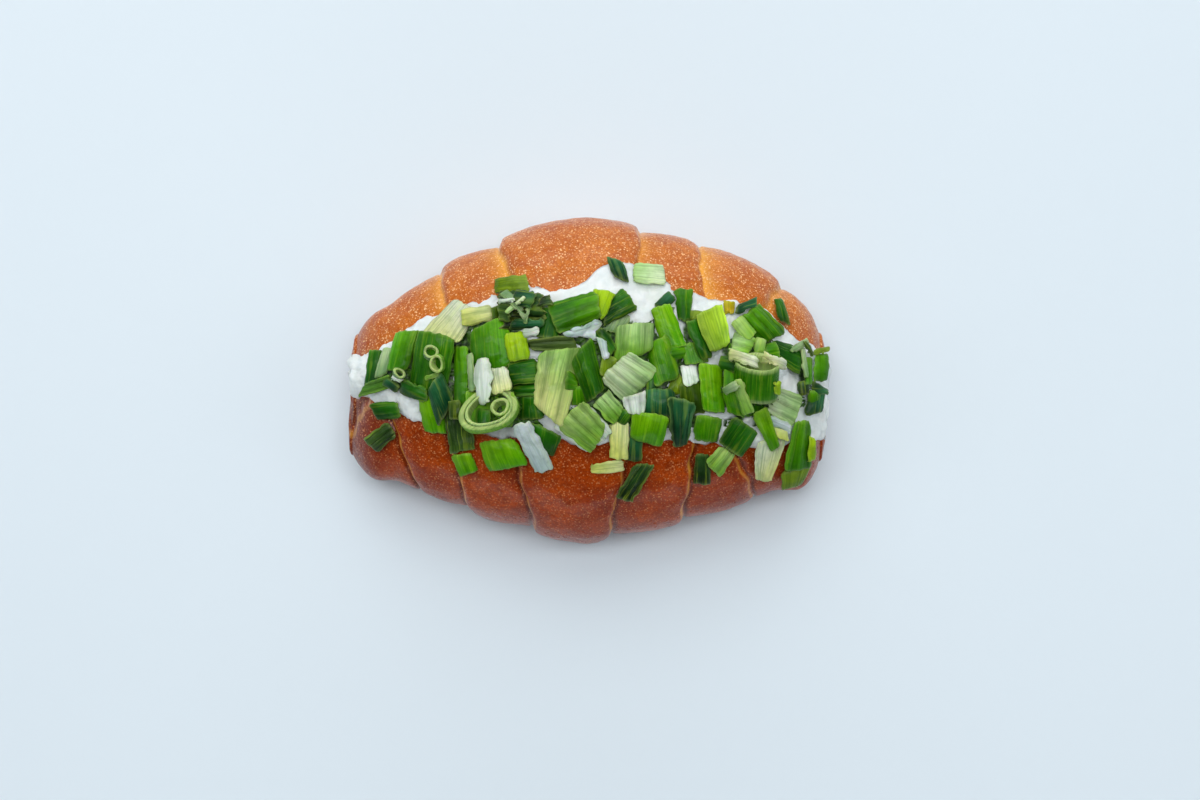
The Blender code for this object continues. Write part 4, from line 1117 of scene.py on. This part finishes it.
def sheet_piece(relief, piece, bend, number, alone=False, lines=SHEET_LINES, grown=1.0):
    """Points, faces, tint and fibre values of one settled sheet."""
    draw = random.Random(SEED * 1000 + number)
    piece = piece.at_height(relief.highest(relief.heap, *piece.corners.mean(axis=0)) + 1.0, grown)
    rest = settle(relief, piece, bend)
    lift = lift_controls(relief, piece, rest, bend)
    u, v = np.meshgrid(edge_lines(lines[0]), edge_lines(lines[1]), indexing="ij")
    flat = np.stack([u * piece.length / 2, v * piece.width / 2, np.full_like(u, 9.0 * number)],
                    axis=-1)
    along, over = np.array([0.25, 1.0, 1.0]), np.array([1.0, 0.25, 1.0])
    jag = JAG * piece.tatter * roughness_field(flat * along, 1.3, 2, number) * np.abs(u) ** 6
    fray = FRAY * piece.tatter * roughness_field(flat * over, 2.4, 2, number) * np.abs(v) ** 4
    corner = 1.0 - CORNER_ROUND * np.abs(u * v) ** 5
    u_cut = (u + jag * np.sign(u) / (piece.length / 2)) * corner
    v_cut = (v + fray * np.sign(v) / (piece.width / 2)) * corner
    px, py, own = sheet_point(piece, u_cut, v_cut, bend)
    flexed = np.einsum("abi,ij,abj->ab", bernstein(u), lift, bernstein(v))
    ripple = roughness_field(flat, 3.6, 2, number + 50)
    ripple = ripple + 0.4 * roughness_field(flat * along, 1.1, 1)
    twist = draw.uniform(-TWIST, TWIST)
    z = rest[0] + rest[1] * u + rest[2] * v + own + flexed
    z = z + RIPPLE * ripple * piece.tatter + twist * u * v
    lower = np.stack([px, py, z], axis=-1)
    return close_sheet(relief, lower, u, v, piece, number, draw, alone)


def close_sheet(relief, lower, u, v, piece, number, draw, alone):
    """Give the sheet its thickness and a rounded rim, and mark it in the relief."""
    normal = np.cross(np.gradient(lower, axis=0), np.gradient(lower, axis=1))
    normal /= np.linalg.norm(normal, axis=-1, keepdims=True)
    normal *= np.sign(normal[..., 2:])
    from_rim = np.minimum((1.0 - np.abs(u)) * piece.length, (1.0 - np.abs(v)) * piece.width) / 2
    thick = SHEET_WALL * (RIM_THICKNESS + (1.0 - RIM_THICKNESS) * ease(from_rim / 0.5))
    upper = lower + normal * thick[..., None]
    relief.stamp(upper.reshape(-1, 3), alone)
    rows, columns = u.shape
    rim = rim_of(rows, columns)
    count = rows * columns
    edge = []
    for i, j in rim:
        inner = lower[min(max(i, 1), rows - 2), min(max(j, 1), columns - 2)]
        away = lower[i, j] - inner
        away = away / max(np.linalg.norm(away), 1e-6)
        edge.append((lower[i, j] + upper[i, j]) / 2 + away * RIM_BULGE)
    points = np.concatenate([lower.reshape(-1, 3), upper.reshape(-1, 3), np.array(edge)])
    faces = sheet_faces(rows, columns)
    for k, (i, j) in enumerate(rim):
        m = (k + 1) % len(rim)
        a, b = i * columns + j, rim[m][0] * columns + rim[m][1]
        e, f = 2 * count + k, 2 * count + m
        faces.append((b, a, e, f))
        faces.append((a + count, b + count, f, e))
    if piece.mirrored:
        faces = [face[::-1] for face in faces]
    tint = sheet_tint(u, v, piece, draw).reshape(-1, 4)
    inner = tint * 0.88 + 0.12 * np.array(INNER_TINT)
    seen, hidden = (inner, tint) if piece.arc < 0 else (tint, inner)
    edge_tint = np.array([tint[i * columns + j] for i, j in rim])
    tint = np.concatenate([hidden, seen, edge_tint])
    fibre = np.stack([u * piece.length / 2, v * piece.width / 2, np.full_like(u, number)], axis=-1)
    fibre = fibre.reshape(-1, 3)
    edge_fibre = np.array([fibre[i * columns + j] for i, j in rim])
    return points, faces, tint, np.concatenate([fibre, fibre, edge_fibre])


def ring_piece(relief, ring, number, sink=RING_SINK):
    """A short hollow cut, standing or leaning on what lies under it."""
    draw = random.Random(SEED * 2000 + number)
    x, y, length, outer, inner, heading, tilt, tint_name = ring
    turn, lean = math.radians(heading), math.radians(tilt)
    level = math.cos(lean)
    axis = np.array((math.cos(turn) * level, math.sin(turn) * level, math.sin(lean)))
    side = np.array((-math.sin(turn), math.cos(turn), 0.0))
    over = np.cross(axis, side)
    sides, steps = RING_LINES
    angle = 2.0 * math.pi * np.arange(sides) / sides
    first, second = draw.uniform(0.0, 6.0), draw.uniform(0.0, 6.0)
    wobble = 1.0 + 0.07 * np.sin(2 * angle + first) + 0.04 * np.sin(3 * angle + second)
    outline = []
    ends = np.linspace(-0.5, 0.5, steps)
    for radius, order in ((outer / 2, ends), (inner / 2, ends[::-1])):
        for end in order:
            rounded = 1.0 - 0.03 * (2.0 * abs(end)) ** 8 * (1.0 if radius == outer / 2 else -1.0)
            outline.append((end * length, radius * rounded))
    points, tint, fibre = [], [], []
    skin, inside = np.array(TINTS[tint_name][0]), np.array(RING_INSIDE_TINT)
    for k, (along, radius) in enumerate(outline):
        spread = np.cos(angle)[:, None] * side + np.sin(angle)[:, None] * over * RING_FLATNESS
        slanted = along + 0.35 * np.sin(angle + first) * np.sign(along)
        points.append(np.array((x, y, 0.0)) + slanted[:, None] * axis
                      + spread * (radius * wobble)[:, None])
        cut = min(1.0, 2.0 * abs(along) / length) ** 10
        base = skin if k < steps else inside
        shade = base * (1.0 - 0.6 * cut) + 0.6 * cut * np.array(RING_CUT_TINT)
        tint.append(np.tile(shade, (sides, 1)))
        arc = angle * radius
        fibre.append(np.stack([np.full(sides, along), arc, np.full(sides, number)], axis=-1))
    points, tint, fibre = np.concatenate(points), np.concatenate(tint), np.concatenate(fibre)
    bottom = points[:sides]
    lift = max(relief.highest(relief.ground, px, py) + GAP + 0.2 - pz for px, py, pz in points)
    under = [relief.highest(relief.heap, px, py) - pz for px, py, pz in bottom]
    lift = max(lift, float(np.quantile(under, REST_SHARE)) - sink)
    points = points + np.array((0.0, 0.0, lift))
    relief.stamp(points)
    return points, loft_faces(len(outline), sides, closed=True), tint, fibre


def openness(x, y):
    """How open the heap is to the cream below it, 1 and more inside such a place."""
    best = 0.0
    for cx, cy, rx, ry in OPEN_CREAM:
        best = max(best, 2.0 - math.hypot((x - cx) / rx, (y - cy) / ry))
    return best


def core_heights(relief):
    """Heights of the core: the heap evened out and lowered, and kept clear below each piece."""
    total, weight = np.zeros_like(relief.heap), 0
    for i in range(-4, 5, 2):
        for j in range(-4, 5, 2):
            total += np.roll(np.roll(relief.heap, i, axis=0), j, axis=1)
            weight += 1
    hill = np.minimum(total / weight - CORE_UNDER, relief.bare + CORE_HIGHEST)
    covered = relief.heap - relief.bare > 0.6
    return np.where(covered, np.minimum(hill, relief.heap - CORE_CLEAR), hill)


def bed_pieces(relief, core, draw):
    """Small cuts that fill the gaps of the heap, lying on its core."""
    rows = []
    names = ("dark", "mid", "shade", "dark", "blue", "mid", "light")
    for _ in range(BED_TRIES):
        x = draw.uniform(-60.0, 64.0)
        y = float(slit_middle(x)) + draw.uniform(-0.98, 0.94) * float(slit_half(x))
        above = relief.highest(relief.heap, x, y) - core.highest(core.heap, x, y, 0)
        near = min((math.hypot(x - row[0], y - row[1]) for row in rows), default=9.0)
        if above > BED_CLEAR or near < BED_APART or openness(x, y) > BED_OPENNESS:
            continue
        length, width = draw.uniform(3.5, 6.5), draw.uniform(2.4, 4.2)
        form = draw.choice((LEAF, FLAT, ARCH, LEAF))
        rows.append((x, y, length, width, draw.uniform(0, 180), form, draw.choice(names)))
    return [bar(*row) for row in rows]


def heap_core(relief, core, look):
    """The mass between and under the pieces: dark green, partly crushed leaf and partly painted
    shade for the heap's gaps, and cream where the heap is open.
    """
    rows, columns = CORE_LINES
    lower, upper, opened = [], [], []
    for k in range(rows):
        t = k / (rows - 1)
        x = CORE_ENDS[0] + (CORE_ENDS[1] - CORE_ENDS[0]) * t
        half = float(slit_half(x)) * (0.35 + 0.65 * min(1.0, 6.0 * min(t, 1.0 - t)))
        for j in range(columns):
            v = 2.0 * j / (columns - 1) - 1.0
            y = float(slit_middle(x)) + half * v
            base = relief.highest(relief.bare, x, y, 0) - 0.5
            bits = noise.fractal(Vector((x, y, 40.0)) / 1.6, 1.0, 2.0, 3)
            white = float(ease(3.0 * (openness(x, y) - 0.95 + 0.15 * bits)))
            hill = core.highest(core.heap, x, y, 0) + 0.25 * bits
            hill += (1.0 - white) * 0.45 * bits
            border = min(1.0, 8.0 * (1.0 - abs(v)), 12.0 * min(t, 1.0 - t))
            lower.append((x, y, base - 0.6))
            upper.append((x, y, base + max(0.05, (hill - base) * border)))
            opened.append(white)
    points = np.array(lower + upper)
    count = rows * columns
    faces = sheet_faces(rows, columns)
    rim = [i * columns + j for i, j in rim_of(rows, columns)]
    for a, b in zip(rim, rim[1:] + rim[:1]):
        faces.append((b, a, a + count, b + count))
    item = mesh_piece("heap_core", points, faces, [look], None, {"white": opened + opened})
    face_outwards(item)
    return item


def make_scallions(bread, cream, looks):
    """The lone pieces one by one, and the heap's pieces joined by kind over their core."""
    relief = Relief((bread, cream))
    ordered = UNDER + MIDDLE + UPPER
    draw = random.Random(SEED)
    bends = [draw.uniform(*BENDS) for _ in range(len(ordered) + len(STRAYS))]
    for k, piece in enumerate(STRAYS):
        alone = Kind()
        alone.add(*sheet_piece(relief, piece, bends[len(ordered) + k], 300 + k, alone=True))
        item = alone.build(f"scallion_cut_{k + 1:02d}", looks[TINTS[piece.tint][2]])
        dress(item, "scallion", f"scallion_piece_{k + 1:02d}")
    kinds = {name: Kind() for name in looks}
    for k, piece in enumerate(ordered):
        if k == len(UNDER):
            for n, ring in enumerate(RINGS):
                kinds["pale"].add(*ring_piece(relief, ring, 200 + n))
        grown = UNDER_GROWN if k < len(UNDER) else REST_GROWN
        kinds[TINTS[piece.tint][2]].add(*sheet_piece(relief, piece, bends[k], k, grown=grown))
    for n, curl in enumerate(CURLS):
        kinds["pale"].add(*ring_piece(relief, curl, 220 + n, CURL_SINK))
    for name, kind in kinds.items():
        if kind.count:
            dress(kind.build(f"heap_{name}", looks[name]), "scallion", "scallion_heap")
    core = relief.over(core_heights(relief))
    bed = Kind()
    for k, piece in enumerate(bed_pieces(relief, core, draw)):
        bed.add(*sheet_piece(core, piece, 0.0, 500 + k, lines=BED_LINES))
    dress(bed.build("heap_bed", looks["leaf"]), "scallion", "scallion_heap")
    dress(heap_core(relief, core, core_look()), "scallion", "scallion_heap")


# ---------------------------------------------------------------- materials


class Look:
    """A material or sky being put together, with short ways to add and join its nodes."""

    def __init__(self, owner, shader="Principled BSDF"):
        self.owner = owner
        owner.use_nodes = True
        self.nodes = owner.node_tree.nodes
        self.links = owner.node_tree.links
        self.shader = self.nodes[shader]

    def feed(self, socket, value):
        if isinstance(value, bpy.types.NodeSocket):
            self.links.new(value, socket)
        elif value is not None:
            socket.default_value = value

    def feed_all(self, node, inputs):
        for key, value in inputs.items():
            self.feed(node.inputs[key.replace("_", " ")], value)

    def add(self, kind, output, settings=None, **inputs):
        """The named output of a new node, once its settings and inputs are given."""
        node = self.nodes.new(kind)
        for key, value in (settings or {}).items():
            setattr(node, key, value)
        self.feed_all(node, inputs)
        return node.outputs[output]

    def place(self):
        return self.add("ShaderNodeTexCoord", "Object")

    def field(self, name, output="Fac"):
        return self.add("ShaderNodeAttribute", output, {"attribute_name": name})

    def part(self, vector, letter):
        return self.add("ShaderNodeSeparateXYZ", letter, Vector=vector)

    def noise(self, vector, size, detail=3.0, rough=0.55):
        """Noise with features some size millimetres wide."""
        return self.add("ShaderNodeTexNoise", "Fac", Vector=vector, Scale=1.0 / (size * MM),
                        Detail=detail, Roughness=rough)

    def streaks(self, fibre, scale, detail):
        """Noise drawn out along the fibres, its scale in features for each millimetre."""
        drawn = self.add("ShaderNodeMapping", "Vector", Vector=fibre, Scale=scale)
        return self.noise(drawn, 1.0 / MM, detail, 0.6)

    def cells(self, vector, size):
        return self.add("ShaderNodeTexVoronoi", "Distance", Vector=vector, Scale=1.0 / (size * MM))

    def spread(self, value, low, high, to_low=0.0, to_high=1.0):
        return self.add("ShaderNodeMapRange", "Result", {"interpolation_type": "SMOOTHSTEP"},
                        Value=value, From_Min=low, From_Max=high, To_Min=to_low, To_Max=to_high)

    def math(self, operation, a, b):
        node = self.nodes.new("ShaderNodeMath")
        node.operation = operation
        self.feed(node.inputs[0], a)
        self.feed(node.inputs[1], b)
        return node.outputs["Value"]

    def mix(self, factor, a, b, blend="MIX"):
        return self.add("ShaderNodeMix", "Result", {"data_type": "RGBA", "blend_type": blend},
                        Factor=factor, A=a, B=b)

    def laid(self, colour, over, share, amount):
        """The colour with another laid over it, as strongly as share times amount."""
        return self.mix(self.math("MULTIPLY", share, amount), colour, over)

    def bump(self, height, strength, distance, under=None):
        return self.add("ShaderNodeBump", "Normal", Strength=strength, Distance=distance * MM,
                        Height=height, Normal=under)

    def finish(self, **inputs):
        self.feed_all(self.shader, inputs)
        return self.owner


def material_look(name):
    return Look(bpy.data.materials.new(name))


def crust_look():
    """Egg-washed crust: mottled brown, finely speckled, pale beside the creases; painted light
    makes the back lighter and the front darker, with a painted highlight and painted shade at the
    front creases.
    """
    look = material_look("crust")
    place = look.place()
    along, across = look.part(place, "X"), look.part(place, "Y")
    lit = look.spread(across, -0.016, 0.016)
    broad = look.spread(look.noise(place, 14.0, 3.0), 0.35, 0.65)
    patches = look.spread(look.noise(place, 4.2, 4.0, 0.6), 0.42, 0.68)
    grain = look.spread(look.noise(place, 0.75, 3.0, 0.7), 0.40, 0.62)
    # Painted light: the back half of the crust is painted lighter and the front half darker, as the
    # light from behind falls on them.
    lit_back_colour = look.mix(broad, srgb(216, 126, 48), srgb(198, 106, 34))
    shaded_front_colour = look.mix(broad, srgb(176, 68, 0), srgb(148, 50, 0))
    colour = look.mix(lit, shaded_front_colour, lit_back_colour)
    # The burnt brown of the left end, patches and grain is real browning, painted darker on the
    # shaded front and lighter on the lit back.
    burnt_with_painted_light = look.mix(lit, srgb(104, 30, 0), srgb(164, 66, 8))
    left_end = look.spread(along, -0.056, -0.070, 0.0, 0.75)
    colour = look.mix(left_end, colour, burnt_with_painted_light)
    colour = look.laid(colour, burnt_with_painted_light, patches, 0.5)
    colour = look.laid(colour, burnt_with_painted_light, grain, 0.5)
    pale = look.field("pale")
    uneven = look.spread(look.noise(place, 2.6, 3.0), 0.3, 0.6, 0.7, 1.0)
    # At the back the pale field is stretched dough; at the front it is a painted highlight on each
    # crease shoulder.
    colour = look.laid(colour, srgb(248, 180, 64), pale, uneven)
    # Below zero the pale field is painted shade in the front creases.
    hollow = look.spread(pale, -0.1, -0.8)
    colour = look.laid(colour, srgb(92, 28, 0), hollow, 0.8)
    near = look.spread(look.cells(place, 0.9), 0.33, 0.18)
    lot = look.spread(look.noise(place, 2.4, 3.0), 0.36, 0.54, 0.15, 1.0)
    dots = look.math("MULTIPLY", near, lot)
    fine = look.spread(look.noise(place, 0.5, 1.0), 0.58, 0.72)
    specks = look.math("MAXIMUM", dots, look.math("MULTIPLY", fine, 0.6))
    # The specks are pale blisters and partly painted glints; they fade towards the shaded front and
    # are painted brighter on the lit back.
    specks = look.math("MULTIPLY", specks, look.spread(across, -0.03, 0.0, 0.55, 1.0))
    speck_colour_with_painted_light = look.mix(lit, srgb(226, 150, 96), srgb(252, 208, 150))
    colour = look.laid(colour, speck_colour_with_painted_light, specks, 0.9)
    under = look.spread(look.field("under"), 0.35, 1.3)
    colour = look.laid(colour, srgb(150, 92, 44), under, 0.8)
    rough = look.spread(look.noise(place, 1.4, 3.0), 0.3, 0.7, 0.26, 0.40)
    wrinkles = look.noise(place, 1.9, 4.0, 0.6)
    normal = look.bump(wrinkles, 0.4, 0.4)
    normal = look.bump(specks, 0.3, 0.12, normal)
    return look.finish(Base_Color=colour, Roughness=rough, Normal=normal, Coat_Weight=0.18,
                       Coat_Roughness=0.12, Specular_IOR_Level=0.16, Sheen_Weight=0.08,
                       Sheen_Roughness=0.35, Sheen_Tint=(1.0, 0.86, 0.90, 1.0))


def crumb_look():
    look = material_look("crumb")
    place = look.place()
    holes = look.spread(look.cells(place, 2.2), 0.15, 0.5)
    colour = look.mix(holes, srgb(196, 160, 104), srgb(232, 208, 158))
    normal = look.bump(look.noise(place, 1.1, 4.0), 0.7, 0.6)
    return look.finish(Base_Color=colour, Roughness=0.75, Normal=normal)


def cream_look():
    """Soft white cream cheese, moist, with a fine broken grain."""
    look = material_look("cream")
    place = look.place()
    shade = look.spread(look.noise(place, 5.0, 4.0), 0.3, 0.7)
    colour = look.mix(shade, *CREAM_COLOURS)
    tinge = look.spread(look.noise(place, 9.0, 2.0), 0.55, 0.8)
    colour = look.laid(colour, srgb(206, 224, 190), tinge, 0.35)
    normal = look.bump(look.noise(place, 1.5, 5.0, 0.62), 0.55, 0.55)
    rough = look.spread(look.noise(place, 2.2, 2.0), 0.3, 0.7, 0.38, 0.55)
    return look.finish(Base_Color=colour, Roughness=rough, Normal=normal, Subsurface_Weight=0.35,
                       Subsurface_Radius=(1.0, 0.9, 0.8), Subsurface_Scale=0.0025)


def core_look():
    """Dark green between the pieces, partly crushed leaf and partly painted shade for the gaps;
    white cream where it lies open.
    """
    look = material_look("heap_core")
    place = look.place()
    bits = look.spread(look.noise(place, 1.3, 3.0, 0.6), 0.35, 0.65)
    # This dark green is painted shade for the gaps between the pieces, and partly crushed leaf.
    green = look.mix(bits, srgb(16, 44, 4), srgb(66, 112, 18))
    shade = look.spread(look.noise(place, 5.0, 4.0), 0.3, 0.7)
    white = look.mix(shade, *CREAM_COLOURS)
    colour = look.mix(look.field("white"), green, white)
    normal = look.bump(look.noise(place, 1.5, 3.0), 0.5, 0.35)
    return look.finish(Base_Color=colour, Roughness=0.45, Normal=normal, Subsurface_Weight=0.2,
                       Subsurface_Radius=(1.0, 0.9, 0.8), Subsurface_Scale=0.0015)


def scallion_look(name, vein, shine, wrinkle, glow):
    """Cut leaf with fine veins along its fibres, from the pieces' own tints."""
    look = material_look(name)
    tint, fibre = look.field("tint", "Color"), look.field("fibre", "Vector")
    place = look.place()
    lines = look.streaks(fibre, (0.07, 2.6, 3.7), 3.0)
    bands = look.streaks(fibre, (0.05, 0.75, 2.3), 2.0)
    darker = look.mix(1.0, tint, (0.42, 0.52, 0.40, 1.0), "MULTIPLY")
    lighter = look.mix(0.34, tint, srgb(196, 220, 60))
    colour = look.laid(tint, darker, look.spread(lines, 0.52, 0.36), vein)
    colour = look.laid(colour, lighter, look.spread(lines, 0.56, 0.70), vein)
    colour = look.laid(colour, darker, look.spread(bands, 0.48, 0.34), 0.55)
    colour = look.laid(colour, lighter, look.spread(bands, 0.55, 0.68), 0.4)
    blotch = look.spread(look.noise(place, 3.6, 3.0), 0.45, 0.72)
    colour = look.laid(colour, darker, blotch, 0.5)
    streaks = look.spread(lines, 0.36, 0.64)
    rough = look.spread(look.noise(place, 1.2, 3.0), 0.3, 0.7, 0.26, 0.42)
    normal = look.bump(streaks, 0.42, 0.12 * (1.0 + wrinkle))
    dents = look.noise(place, 1.6, 3.0)
    normal = look.bump(dents, 0.30 + 0.3 * wrinkle, 0.18 * (1.0 + wrinkle), normal)
    return look.finish(Base_Color=colour, Roughness=rough, Normal=normal, Coat_Weight=shine,
                       Coat_Roughness=0.05, Specular_IOR_Level=0.08, Subsurface_Weight=glow,
                       Subsurface_Radius=(0.5, 1.0, 0.3), Subsurface_Scale=0.0012)


def floor_look():
    look = material_look("pale_floor")
    place = look.place()
    shade = look.spread(look.noise(place, 260.0, 2.0), 0.3, 0.7)
    colour = look.mix(shade, (0.745, 0.845, 0.915, 1.0), (0.755, 0.855, 0.925, 1.0))
    normal = look.bump(look.noise(place, 0.8, 2.0), 0.05, 0.1)
    return look.finish(Base_Color=colour, Roughness=0.55, Normal=normal)


# ---------------------------------------------------------------- the stage


def dress(item, slot, *nodes):
    """Let a piece ride with the part and stand for solids; the slot is not used."""
    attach(item, "root")
    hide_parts(*nodes)


def make_floor():
    half = FLOOR_HALF
    points = [(-half, -half, 0.0), (half, -half, 0.0), (half, half, 0.0), (-half, half, 0.0)]
    floor = mesh_piece("floor", points, [(0, 1, 2, 3)], [floor_look()])


def make_light():
    sky = Look(bpy.data.worlds.new("studio"), "Background")
    upward = sky.part(sky.add("ShaderNodeTexCoord", "Generated"), "Z")
    strength = sky.spread(upward, 0.0, HORIZON_TOP, HORIZON_LIGHT, ZENITH_LIGHT)
    bpy.context.scene.world = sky.finish(Color=SKY_COLOUR, Strength=strength)
    for name, place, size, power, colour in LIGHTS:
        light = bpy.data.lights.new(name, "AREA")
        light.shape = "RECTANGLE"
        light.size, light.size_y = size
        light.energy = power
        light.color = colour
        lamp = bpy.data.objects.new(name, light)
        lamp.location = place
        aim = Vector(LIGHTS_AIM) - lamp.location
        lamp.rotation_euler = aim.to_track_quat("-Z", "Y").to_euler()
        lamp.visible_camera = False
        bpy.context.scene.collection.objects.link(lamp)


def make_camera():
    """Straight above the bun, as far away as the photo's perspective shows."""
    camera = bpy.data.objects.new("camera", bpy.data.cameras.new("camera"))
    camera.data.sensor_width = 36.0
    camera.data.lens = CAMERA_LENS
    camera.data.clip_start = 0.01
    camera.data.dof.use_dof = False
    camera.location = Vector(CAMERA_PLACE) * MM
    bpy.context.scene.collection.objects.link(camera)
    bpy.context.scene.camera = camera


def main():
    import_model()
    bpy.context.scene.view_settings.view_transform = "Standard"
    cream_material = cream_look()
    bread = make_bread([crust_look(), crumb_look()])
    cream = make_cream(bread, cream_material)
    dress(bread, "crust", "bread")
    dress(cream, "cream", "cream_cheese")
    looks = {
        "leaf": scallion_look("scallion_leaf", 0.50, 0.10, 0.0, 0.05),
        "pale": scallion_look("scallion_pale", 0.60, 0.15, 0.2, 0.25),
        "skin": scallion_look("scallion_skin", 0.35, 0.25, 0.3, 0.30),
        "wilted": scallion_look("scallion_wilted", 0.9, 0.15, 1.0, 0.06),
    }
    make_scallions(bread, cream, looks)
    make_floor()
    make_light()
    make_camera()


main()
